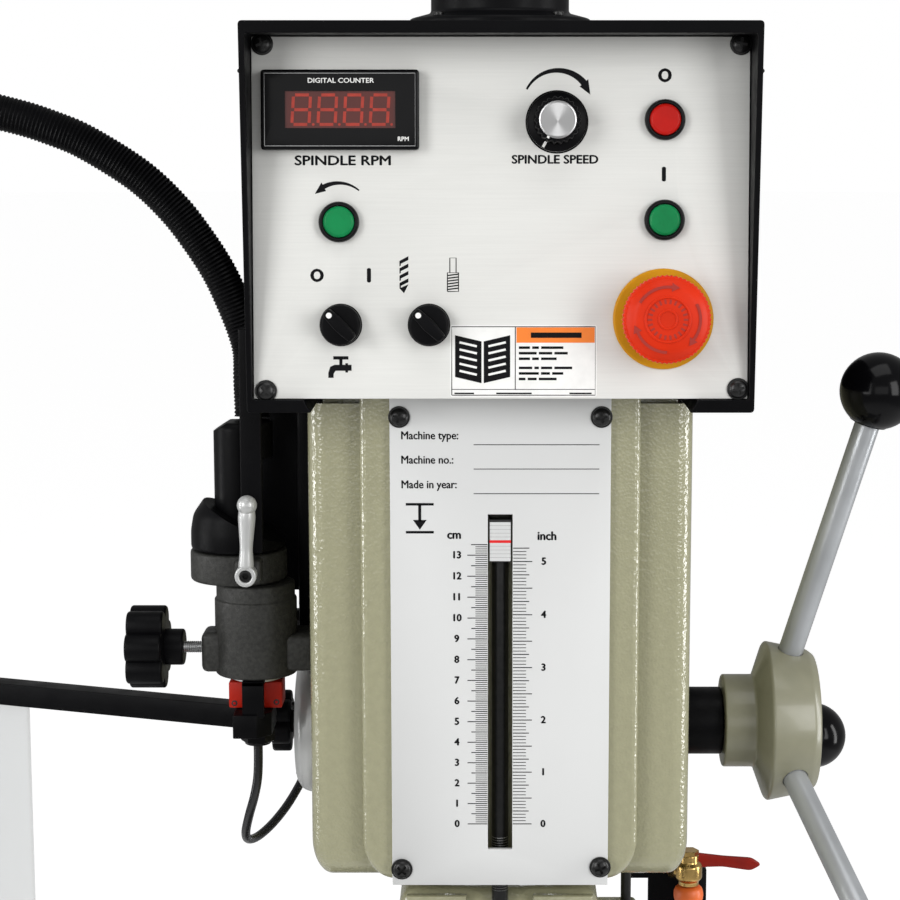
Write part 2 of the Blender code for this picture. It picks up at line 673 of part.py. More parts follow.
def quill_bracket(axis):
    """Clamp on the quill's nose that carries the depth rod and the limit rod."""
    made = head_block((-49, 12, -72), (48, 112, -38), 8, 1)
    join(made, head_block((-14, 3, -68), (14, 30, -44)),
         head_block((40, 48, -76), (70, 74, -62)),
         rod(2.6, head(64, 61, -70), head(64, 61, 60), 8))
    cut(made, bore(QUILL_R + GAP, head(0, SPINDLE, -90), head(0, SPINDLE, -20), 20),
        bore(4.3, head(0, 10, -80), head(0, 10, -30), 12))
    part("quill_bracket", made, "head_paint", axis)


def depth_rod(axis):
    made = rod(4, head(0, 10, -76), head(0, 10, 142), 12)
    join(made, head_block((-5.2, 1.2, 126.3), (5.2, 15, 146.7), 1))
    part("depth_rod", made, "steel", axis)


def spindle(axis):
    profile = [(0, 395), (10, 395), (12, 393), (12, QUILL_HIGH + 8), (20, QUILL_HIGH + 6),
               (20, QUILL_LOW - GAP), (26, QUILL_LOW - GAP), (26, -92), (20, -96),
               (16, -112), (0, -112)]
    part("spindle", turned(profile, facing(head(0, SPINDLE, 0), (0, 0, 1))), "steel", axis)
    profile = [(7, -112.3), (20, -112.3), (23, -116), (26, -122), (26, -160), (27.5, -162),
               (27.5, -182), (25, -186), (13, -206), (11, -208), (7, -208)]
    part("drill_chuck", turned(profile, facing(head(0, SPINDLE, 0), (0, 0, 1)), ring=True),
         "steel", axis)


# -------------------------------------------------------------- quill feed

def arm_direction(number):
    turn = ARM_TURNS[number]
    return Vector((math.sin(ARM_LEAN), -math.sin(turn) * math.cos(ARM_LEAN),
                   math.cos(turn) * math.cos(ARM_LEAN)))


def feed_handle(axis):
    centre = Vector(head(HUB_X, FEED_Y, FEED_Z))
    frame = Matrix.Translation(Vector(head(0, FEED_Y, FEED_Z)) * MM) @ Matrix(
        ((0, 0, 1, 0), (0, 1, 0, 0), (-1, 0, 0, 0), (0, 0, 0, 1)))
    shaft = slab(pinion_outline(FEED_MODULE, FEED_TEETH), 28, frame)
    join(shaft, rod(10, head(-103, FEED_Y, FEED_Z), head(139, FEED_Y, FEED_Z)))
    part("feed_shaft", shaft, "steel", axis)

    along_x = facing(head(0, FEED_Y, FEED_Z), (1, 0, 0))
    hub = turned([(0, 163.7), (34.2, 163.7), (37, 160), (41.4, 139), (40.5, 138), (24, 132),
                  (24, 115.9), (10.3, 115.9), (10.3, 139.5), (0, 139.5)], along_x, 20)
    for number in range(3):
        way = arm_direction(number)
        cut(hub, rod(ARM_R + GAP, centre + way * 29.5, centre + way * 60, 10))
    part("feed_hub", hub, "head_paint", axis)
    for number in range(3):
        way = arm_direction(number)
        end = centre + way * ARM_LENGTH
        part(f"feed_arm_{number + 1}", rod(ARM_R, centre + way * 30, end - way * 8.3, 10),
             "steel", axis)
        knob = cut(ball(BALL_R, end), rod(ARM_R + GAP, end - way * 30, end - way * 8, 10))
        part(f"feed_ball_{number + 1}", knob, "gloss_black", axis)


def feed_ends(knob_axis):
    along_x = facing(head(0, FEED_Y, FEED_Z), (1, 0, 0))
    sleeve = [(10.4, 115.6), (17.5, 115.6), (17.5, 91.3), (10.4, 91.3)]
    part("feed_sleeve", turned(sleeve, along_x, ring=True), "black_plastic")

    cap = [(33, -91.3), (37, -91.3), (37, -97), (35.5, -102), (31, -105), (10.4, -105),
           (10.4, -101.5), (33, -101.5)]
    part("spring_housing", turned(cap, along_x, 20, ring=True), "cast_aluminium")

    turns, steps, inner, outer, strip = 2, 28, 11.5, 29.0, 1.2
    spiral = []
    for edge, order in ((0.0, range(steps + 1)), (strip, reversed(range(steps + 1)))):
        for i in order:
            radius = inner + edge + (outer - inner) * i / steps
            angle = 2 * math.pi * turns * i / steps
            spiral.append((radius * math.cos(angle), radius * math.sin(angle)))
    frame = along_x @ Matrix.Translation((0, 0, -96.5 * MM))
    part("return_spring", slab(spiral, 8, frame), "steel")

    knob = bevel(slab(lobed_outline(16, 4, 6), 10,
                      along_x @ Matrix.Translation((0, 0, -113 * MM))), 1.5, 1)
    join(knob, rod(6.5, head(-110, FEED_Y, FEED_Z), head(-105.3, FEED_Y, FEED_Z), 10))
    part("spring_knob", knob, "black_plastic", knob_axis)


# ------------------------------------------------------- operator's panel

def control_panel():
    made = block((-PANEL_HALF_W, PANEL_V0, -PANEL_T), (PANEL_HALF_W, PANEL_V1, 0),
                 frame=panel_frame())

    def hole(place_on_panel, radius):
        frame = panel_frame(*place_on_panel)
        start = frame @ Vector((0, 0, -0.01))
        end = frame @ Vector((0, 0, 0.01))
        cut(made, rod(radius, start / MM, end / MM, 12))

    for spot in (*BUTTONS.values(), *SELECTORS.values()):
        hole(spot, BUTTON_HOLE_R)
    hole(SPEED_KNOB, 4)
    hole(ESTOP, 9.9)
    part("control_panel", made, "panel_aluminium")
    part("speed_display", block((-106.6, 112.6, GAP), (-36.3, 148, 6), 1.2,
                                frame=panel_frame()), "black_plastic")


def panel_controls():
    for name, spot in BUTTONS.items():
        axis = joint_axis(name + "_axis", panel_frame(*spot).to_translation() / MM)
        profile = [(0, 5.2), (BUTTON_R - 0.8, 5.2), (BUTTON_R, 4.4), (BUTTON_R, -12), (0, -12)]
        finish = "signal_red" if name == "stop_button" else "signal_green"
        part(name, turned(profile, panel_frame(*spot), 14), finish, axis)
    for name, spot in SELECTORS.items():
        axis = joint_axis(name + "_axis", panel_frame(*spot).to_translation() / MM)
        profile = [(0, 6), (8.2, 6), (8.7, 5.4), (8.7, 0.4), (6.6, 0.4), (6.6, -12), (0, -12)]
        made = turned(profile, panel_frame(*spot), 14)
        pointer = panel_frame(*spot) @ Matrix.Rotation(math.radians(45), 4, "Z")
        join(made, block((-2.2, -8, 5), (2.2, 8, 14), 1, frame=pointer))
        part(name, made, "black_plastic", axis)
    axis = joint_axis("speed_knob_axis", panel_frame(*SPEED_KNOB).to_translation() / MM)
    profile = [(0, 15), (8.2, 15), (9.5, 14), (10.5, 3), (13.3, 2), (13.3, 0.5), (3.2, 0.5),
               (3.2, -12), (0, -12)]
    part("speed_knob", turned(profile, panel_frame(*SPEED_KNOB)), "black_plastic", axis)
    axis = joint_axis("emergency_stop_axis", panel_frame(*ESTOP).to_translation() / MM)
    profile = [(0, 28), (12, 27.4), (17, 25.5), (19.2, 22.5), (ESTOP_R, 19), (19, 12), (16, 9),
               (9.5, 8), (9.5, -12), (0, -12)]
    part("emergency_stop", turned(profile, panel_frame(*ESTOP), 20), "signal_red", axis)


# --------------------------------------------------------- left-hand group

def guard_mount(knob_axis):
    made = rod(20.5, head(GUARD_X, GUARD_Y, 59.5), head(GUARD_X, GUARD_Y, 97.2), 18)
    join(made, rod(19.6, head(GUARD_X, GUARD_Y, 96), head(GUARD_X, GUARD_Y, 105.6), 18),
         head_block((-112, 48, 62), (-91.3, 76, 80)),
         head_block((-147.6, 50, 61), (-132, 70, 81)))
    cut(made, bore(3.3, head(-150, GUARD_Y, 72), head(-124, GUARD_Y, 72), 8))
    part("guard_mount", made, "dark_iron")

    along_x = facing(head(-175, GUARD_Y, 72), (1, 0, 0))
    knob = bevel(slab(lobed_outline(21, 6, 6), 18, along_x), 2.5, 1)
    join(knob, rod(9, head(-168, GUARD_Y, 72), head(-156.7, GUARD_Y, 72), 12),
         rod(3, head(-160, GUARD_Y, 72), head(-125, GUARD_Y, 72), 8))
    part("guard_knob", knob, "black_plastic", knob_axis)


def interlock():
    made = head_block((GUARD_X - 13.3, GUARD_Y - 9, 42.8), (GUARD_X + 13.3, GUARD_Y + 9, 56.3))
    join(made, rod(4, head(GUARD_X, GUARD_Y, 50), head(GUARD_X, GUARD_Y, 59.2), 10))
    part("interlock_switch", made, "switch_red")
    gland = slab(circle_outline(8.6, steps=6), 6.2,
                 facing(head(GUARD_X, GUARD_Y, 27.1), (0, 0, 1)))
    join(gland, rod(5.6, head(GUARD_X, GUARD_Y, 27), head(GUARD_X, GUARD_Y, 42.5), 12))
    part("switch_gland", gland, "black_plastic")
    part("switch_cable", tube(CABLE_ROUTE, CABLE_R, 9, 2), "black_plastic")


def guard(axis):
    x, y = GUARD_X, GUARD_Y
    end = [(-10, -22), (1.5, -22), (8.5, -15), (8.5, 10), (-10, 10)]
    made = slab(end, 11.7, Matrix.Translation(Vector(head(x, y, 36.65)) * MM))
    join(made, rod(12.5, head(x, y, 56.6), head(x, y, 59.2), 14),
         head_block((x - 5.3, y - 21, 56.6), (x + 5.3, y - 4, 59.2)),
         head_block((x - 5.3, y - 21, 40), (x + 5.3, y - 17.2, 59.2)))
    cut(made, bore(4.4, head(x, y, 50), head(x, y, 65), 10),
        bore(6.1, head(x, y, 25), head(x, y, 46), 12))
    turn = Matrix.Translation(Vector(head(x, y, 0)) * MM) @ Matrix.Rotation(GUARD_YAW, 4, "Z")
    join(made, block((7.5, -5.85, 30.9), (GUARD_CORNER, 5.85, 42.4), frame=turn))
    part("guard_arm", made, "black_paint", axis)

    start, corner, radius, across, thick = 135.5, GUARD_CORNER, 40.0, 185.0, 3.0
    side = -8.0
    outer = [(start, side)]
    outer += circle_outline(radius, (corner - radius, side + radius), 8, -math.pi / 2, 0, False)
    outer.append((corner, side + radius + across))
    inner = [(corner - thick, side + radius + across)]
    inner += circle_outline(radius - thick, (corner - radius, side + radius), 8, 0,
                            -math.pi / 2, False)
    inner.append((start, side + thick))
    low, high = -150.0, 30.5
    frame = turn @ Matrix.Translation((0, 0, (low + high) / 2 * MM))
    part("guard_shield", slab(outer + inner, high - low, frame), "clear_plastic", axis)


def lamp(lever_axis):
    ring = rod(24, head(LAMP_X, LAMP_Y, 106.2), head(LAMP_X, LAMP_Y, 121.4), 20)
    join(ring, head_block((LAMP_X + 1, LAMP_Y - 30, 108.5), (LAMP_X + 14, LAMP_Y - 18, 121)))
    part("clamp_ring", ring, "dark_iron")

    profile = [(0, 184.8), (9.5, 184.8), (11.6, 182), (11.6, 146), (17, 145), (22, 138),
               (23.5, 130), (23.5, 121.7), (0, 121.7)]
    lamp_base = turned(profile, facing(head(LAMP_X, LAMP_Y, 0), (0, 0, 1)), 16)
    join(lamp_base, rod(10, head(*NECK_FOOT, 168), head(*NECK_FOOT, 184.4), 16))
    part("lamp_base", lamp_base, "black_plastic")
    part("lamp_gooseneck", tube(NECK_ROUTE, NECK_R, 13, 2), "black_plastic")
    end, before = Vector(NECK_ROUTE[-1]), Vector(NECK_ROUTE[-2])
    way = (end - before).normalized()
    profile = [(0, 96), (30, 96), (30, 99), (34, 99), (34, 92), (30, 60), (22, 30), (14, 12),
               (11, 0.4), (0, 0.4)]
    part("lamp_head", turned(profile, facing(head(*end), way)), "black_paint")

    lever_x, lever_y, lever_z = LEVER_X, LAMP_Y - 30 - GAP, LEVER_Z
    lever = rod(5.3, head(lever_x, lever_y, lever_z), head(lever_x, lever_y - 7, lever_z), 14)
    neck = turned([(0, 35.5), (3.2, 35.5), (4, 28), (2.9, 13), (3.6, 0), (0, 0)],
                  facing(head(lever_x, lever_y - 4, lever_z), (0.03, 0, 1)), 10)
    join(lever, neck, ball(4.9, head(lever_x + 1.1, lever_y - 4.8, lever_z + 34.5), 10))
    part("clamp_lever", lever, "cast_aluminium", lever_axis)


def side_covers():
    made = head_block((-101.5, 80, 70), (-91.3, 142, 198))
    join(made, head_block((-123.5, 94, 93.5), (-96, 141, 197)))
    part("side_bracket", made, "black_paint")
    part("cover_bar", head_block((-124.8, 34.4, 124), (-114.5, 39.9, 233)), "black_paint")


# ----------------------------------------------------------- coolant group

def coolant(lever_axis):
    bracket = head_block((70, 165.3, -85), (99.5, 171, 60))
    join(bracket, head_block((83.3, 165.3, -150), (115.6, 171, -79.5)))
    part("valve_bracket", bracket, "black_paint")
    x, y, top = VALVE_X, VALVE_Y, VALVE_TOP
    profile = [(0, top), (5.6, top), (5.6, top - 4), (7.4, top - 6), (7.4, top - 13),
               (5.6, top - 15), (5.6, top - 17.5), (0, top - 17.5)]
    valve = turned(profile, facing(head(x, y, 0), (0, 0, 1)), 12)
    join(valve, rod(3.6, head(x, y, VALVE_STEM), head(x, y + 13, VALVE_STEM), 12),
         rod(2.3, head(x, y, top - 14.9), head(x, y + 20, top - 14.9), 12))
    part("coolant_valve", valve, "brass")
    lever = rod(4.2, head(x, y + 13.3, VALVE_STEM), head(x, y + 16.3, VALVE_STEM), 12)
    handle = facing(head(x, y + 14.8, VALVE_STEM), (0, -1, 0)) @ Matrix.Rotation(
        LEVER_DROOP, 4, "Z")
    join(lever, block((0, -3.6, -1.3), (41.7, 3.6, 1.3), frame=handle))
    part("valve_lever", lever, "signal_red", lever_axis)
    hose = tube(HOSE_ROUTE, HOSE_R, 12, 2)
    part("coolant_hose", hose, "hose_plastic")


def build():
    table_column = joint_axis("table_column_axis", (0, 0, TRUNNION_Z))
    table_height = joint_axis("table_height_axis", (0, 0, TRUNNION_Z), table_column)
    table_tilt = joint_axis("table_tilt_axis", (0, TRUNNION_Y, TRUNNION_Z), table_height)
    crank = joint_axis("table_crank_axis", (0, CRANK_Y, TRUNNION_Z), table_height)
    lock = joint_axis("table_lock_axis", (-114, 0, TRUNNION_Z), table_height)
    quill_axis = joint_axis("quill_axis", head(0, SPINDLE, 0))
    spindle_axis = joint_axis("spindle_axis", head(0, SPINDLE, 0), quill_axis)
    pulley_axis = joint_axis("spindle_pulley_axis", head(0, SPINDLE, 250))
    motor_axis = joint_axis("motor_axis", head(0, MOTOR_Y, 250))
    feed_axis = joint_axis("feed_axis", head(0, FEED_Y, FEED_Z))
    spring_knob_axis = joint_axis("spring_knob_axis", head(-110, FEED_Y, FEED_Z))
    guard_axis = joint_axis("guard_axis", head(GUARD_X, GUARD_Y, 40))
    guard_knob_axis = joint_axis("guard_knob_axis", head(-160, GUARD_Y, 72))
    clamp_axis = joint_axis("clamp_lever_axis", head(LEVER_X, LAMP_Y - 33, LEVER_Z))
    valve_axis = joint_axis("valve_lever_axis", head(VALVE_X, VALVE_Y + 14, VALVE_STEM))

    base()
    column()
    column_rack(table_column)
    table_arm(table_height)
    work_table(table_tilt)
    table_crank(crank)
    table_lock(lock)
    head_casting()
    front_plate()
    drive_housing()
    spindle_cap()
    motor()
    pulleys(pulley_axis, motor_axis)
    drive_belt()
    quill(quill_axis)
    quill_bracket(quill_axis)
    depth_rod(quill_axis)
    spindle(spindle_axis)
    feed_handle(feed_axis)
    feed_ends(spring_knob_axis)
    control_panel()
    panel_controls()
    guard_mount(guard_knob_axis)
    interlock()
    guard(guard_axis)
    lamp(clamp_axis)
    side_covers()
    coolant(valve_axis)


build()
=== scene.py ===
"""Looks of the floor-standing drill press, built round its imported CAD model.

Tables are in millimetres.  Most pieces are placed in the head frame, whose origin
is the zero mark of the depth scale: +X to the operator's right, +Y towards the
column and +Z up.  piece() turns the millimetres into metres.
"""
import math

import bmesh
import bpy
from mathutils import Matrix, Vector


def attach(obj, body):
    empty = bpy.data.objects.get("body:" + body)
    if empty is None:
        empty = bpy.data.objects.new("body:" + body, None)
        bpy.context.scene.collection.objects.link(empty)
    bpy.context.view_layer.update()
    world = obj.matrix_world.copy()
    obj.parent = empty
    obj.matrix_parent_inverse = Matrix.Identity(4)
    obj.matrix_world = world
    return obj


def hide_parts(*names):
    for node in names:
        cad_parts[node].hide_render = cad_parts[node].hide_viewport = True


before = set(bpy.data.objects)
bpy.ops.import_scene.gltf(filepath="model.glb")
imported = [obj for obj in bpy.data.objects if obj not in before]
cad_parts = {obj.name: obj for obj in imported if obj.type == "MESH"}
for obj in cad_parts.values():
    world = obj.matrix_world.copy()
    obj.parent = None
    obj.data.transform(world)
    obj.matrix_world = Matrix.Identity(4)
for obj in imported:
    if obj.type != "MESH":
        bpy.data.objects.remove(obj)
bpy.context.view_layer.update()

MM = 0.001
SPINDLE_Y = -311.5            # spindle's axis, with the column's axis at 0
PLATE_Y = SPINDLE_Y - 62.0    # front face of the scale plate
ZERO_Z = 1275.0               # zero mark of the depth scale
SPINDLE = 62.0                # spindle's axis behind the scale plate
FEED_Y, FEED_Z = 106.0, 21.8  # feed shaft's axis
MOTOR_Y = 538.5
COLUMN_Y = 373.5
COLUMN_R = 57.5
TURN = 2 * math.pi

X_AXIS, Y_AXIS, Z_AXIS = (1, 0, 0), (0, 1, 0), (0, 0, 1)
WORLD = Matrix.Identity(4)
HEAD = Matrix.Translation((0, PLATE_Y, ZERO_Z))


def linked(name, data):
    """A new object in the scene."""
    made = bpy.data.objects.new(name, data)
    bpy.context.scene.collection.objects.link(made)
    return made


def tune(node, values):
    """Sets a shader node's inputs by name."""
    for name, value in values.items():
        node.inputs[name].default_value = value


# ------------------------------------------------------------ camera, light

CAMERA_AT = (-0.0048, -1.3767, 1.6001)
CAMERA_DOWN = 0.144           # radians below the horizon
CAMERA_LENS = 87.44           # on a 36 mm sensor
CAMERA_SHIFT = -0.0444
LIGHTS_AIM = (0, -0.3, 1.4)   # the middle of the machine's head
LIGHTS = (("key_left", (-1.5, -2.0, 2.0), (0.9, 1.4), 25),
          ("key_right", (1.5, -1.9, 1.9), (0.8, 1.4), 22),
          ("front_fill", (0.1, -3.4, 1.9), (2.2, 1.2), 9),
          ("overhead", (0.2, -0.9, 3.3), (1.6, 1.2), 12),
          ("side_left", (-2.1, -0.55, 1.5), (0.3, 1.8), 20),
          ("side_right", (2.1, -0.5, 1.5), (0.4, 1.8), 24))
AMBIENT = 0.36                # the white background's light; the camera sees it as 1
FLOOR_R, FLOOR_Z, FLOOR_GLOW = 60, -0.0005, 0.70


def camera():
    data = bpy.data.cameras.new("camera")
    data.lens = CAMERA_LENS
    data.shift_x = CAMERA_SHIFT
    made = linked("camera", data)
    made.location = CAMERA_AT
    made.rotation_euler = (math.pi / 2 - CAMERA_DOWN, 0, 0)
    bpy.context.scene.camera = made


def area_light(name, spot, size, power):
    data = bpy.data.lights.new(name, "AREA")
    data.shape = "RECTANGLE"
    data.size, data.size_y = size
    data.energy = power
    made = linked(name, data)
    made.location = spot
    aim = Vector(LIGHTS_AIM) - Vector(spot)
    made.rotation_euler = aim.to_track_quat("-Z", "Y").to_euler()


def for_camera(tree, lit, seen):
    """A shader that differs between what the camera sees and everything else."""
    path = tree.nodes.new("ShaderNodeLightPath")
    mix = tree.nodes.new("ShaderNodeMixShader")
    tree.links.new(path.outputs["Is Camera Ray"], mix.inputs["Fac"])
    tree.links.new(lit.outputs[0], mix.inputs[1])
    tree.links.new(seen.outputs[0], mix.inputs[2])
    return mix.outputs[0]


def studio():
    bpy.context.scene.view_settings.view_transform = "Standard"
    world = bpy.data.worlds.new("studio")
    bpy.context.scene.world = world
    world.use_nodes = True
    tree = world.node_tree
    lit = tree.nodes["Background"]
    seen = tree.nodes.new("ShaderNodeBackground")
    tune(lit, {"Color": (1, 1, 1, 1), "Strength": AMBIENT})
    tune(seen, {"Color": (1, 1, 1, 1), "Strength": 1.0})
    mixed = for_camera(tree, lit, seen)
    tree.links.new(mixed, tree.nodes["World Output"].inputs["Surface"])
    for light in LIGHTS:
        area_light(*light)


def floor():
    mesh = bpy.data.meshes.new("floor")
    bm = bmesh.new()
    bmesh.ops.create_circle(bm, cap_ends=True, segments=64, radius=FLOOR_R)
    bm.to_mesh(mesh)
    bm.free()
    made = linked("floor", mesh)
    made.location.z = FLOOR_Z
    paint = bpy.data.materials.new("floor")
    paint.use_nodes = True
    tree = paint.node_tree
    shader = tree.nodes["Principled BSDF"]
    tune(shader, {"Base Color": (0.8, 0.8, 0.8, 1), "Roughness": 0.9,
                  "Specular IOR Level": 0.1})
    none = tree.nodes.new("ShaderNodeEmission")
    glow = tree.nodes.new("ShaderNodeEmission")
    tune(none, {"Strength": 0.0})
    tune(glow, {"Strength": FLOOR_GLOW})
    total = tree.nodes.new("ShaderNodeAddShader")
    tree.links.new(shader.outputs[0], total.inputs[0])
    tree.links.new(for_camera(tree, none, glow), total.inputs[1])
    tree.links.new(total.outputs[0], tree.nodes["Material Output"].inputs["Surface"])
    mesh.materials.append(paint)


# ---------------------------------------------------------------- materials

MATERIALS = {}
COAT_ROUGHNESS = 0.08


def surface(name, colour, roughness, mottle=None, bumps=(), rough=None, metallic=0.0,
            coat=0.0, specular=0.5, alpha=1.0, grain=None):
    """A procedural material.

    mottle: (scale, amount) of soft colour change; bumps: (scale, depth in mm, strength)
    of each relief, which is made of cells when "cells" follows; rough: (scale, amount) of
    roughness change; grain: (scale, amount) of streaks.  Three scales in a tuple stretch
    a pattern.
    """
    made = bpy.data.materials.new(name)
    MATERIALS[name] = made
    made.use_nodes = True
    nodes, links = made.node_tree.nodes, made.node_tree.links
    shader = nodes["Principled BSDF"]
    tune(shader, {"Base Color": (*colour, 1), "Roughness": roughness, "Metallic": metallic,
                  "Coat Weight": coat, "Coat Roughness": COAT_ROUGHNESS,
                  "Specular IOR Level": specular, "Alpha": alpha})
    place = nodes.new("ShaderNodeTexCoord").outputs["Object"]

    def pattern(scale, detail=2.0, cells=False):
        spot = place
        if isinstance(scale, tuple):
            mapping = nodes.new("ShaderNodeMapping")
            mapping.inputs["Scale"].default_value = scale
            links.new(place, mapping.inputs["Vector"])
            spot, scale = mapping.outputs["Vector"], 1.0
        texture = nodes.new("ShaderNodeTexVoronoi" if cells else "ShaderNodeTexNoise")
        texture.inputs["Scale"].default_value = scale
        if not cells:
            texture.inputs["Detail"].default_value = detail
        links.new(spot, texture.inputs["Vector"])
        return texture.outputs[0]

    def spread(value, low, high):
        ramp = nodes.new("ShaderNodeMapRange")
        tune(ramp, {"From Min": 0.3, "From Max": 0.7, "To Min": low, "To Max": high})
        links.new(value, ramp.inputs["Value"])
        return ramp.outputs["Result"]

    def tint(factor, first, second):
        mix = nodes.new("ShaderNodeMix")
        mix.data_type = "RGBA"
        links.new(factor, mix.inputs["Factor"])
        for socket, value in (("A", first), ("B", second)):
            target = [s for s in mix.inputs if s.name == socket and s.type == "RGBA"][0]
            if isinstance(value, bpy.types.NodeSocket):
                links.new(value, target)
            else:
                target.default_value = (*value, 1)
        return [s for s in mix.outputs if s.type == "RGBA"][0]

    def scaled(factor):
        return tuple(min(1.0, c * factor) for c in colour)

    tinted = None
    if mottle:
        scale, amount = mottle
        change = spread(pattern(scale, 3.0), 0, 1)
        tinted = tint(change, scaled(1 - amount), scaled(1 + amount))
    if grain:
        scale, amount = grain
        lines = spread(pattern(scale), 0, 1)
        tinted = tint(lines, tinted or scaled(1 - amount), scaled(1 + amount))
    if tinted:
        links.new(tinted, shader.inputs["Base Color"])
    if rough:
        scale, amount = rough
        varied = spread(pattern(scale, 3.0), max(0.02, roughness - amount), roughness + amount)
        links.new(varied, shader.inputs["Roughness"])
    height = None
    for scale, depth, strength, *cells in bumps:
        relief = nodes.new("ShaderNodeBump")
        tune(relief, {"Distance": depth * MM, "Strength": strength})
        links.new(pattern(scale, cells=bool(cells)), relief.inputs["Height"])
        if height:
            links.new(height, relief.inputs["Normal"])
        height = relief.outputs["Normal"]
    if height:
        links.new(height, shader.inputs["Normal"])
        if coat:
            links.new(height, shader.inputs["Coat Normal"])
    return made


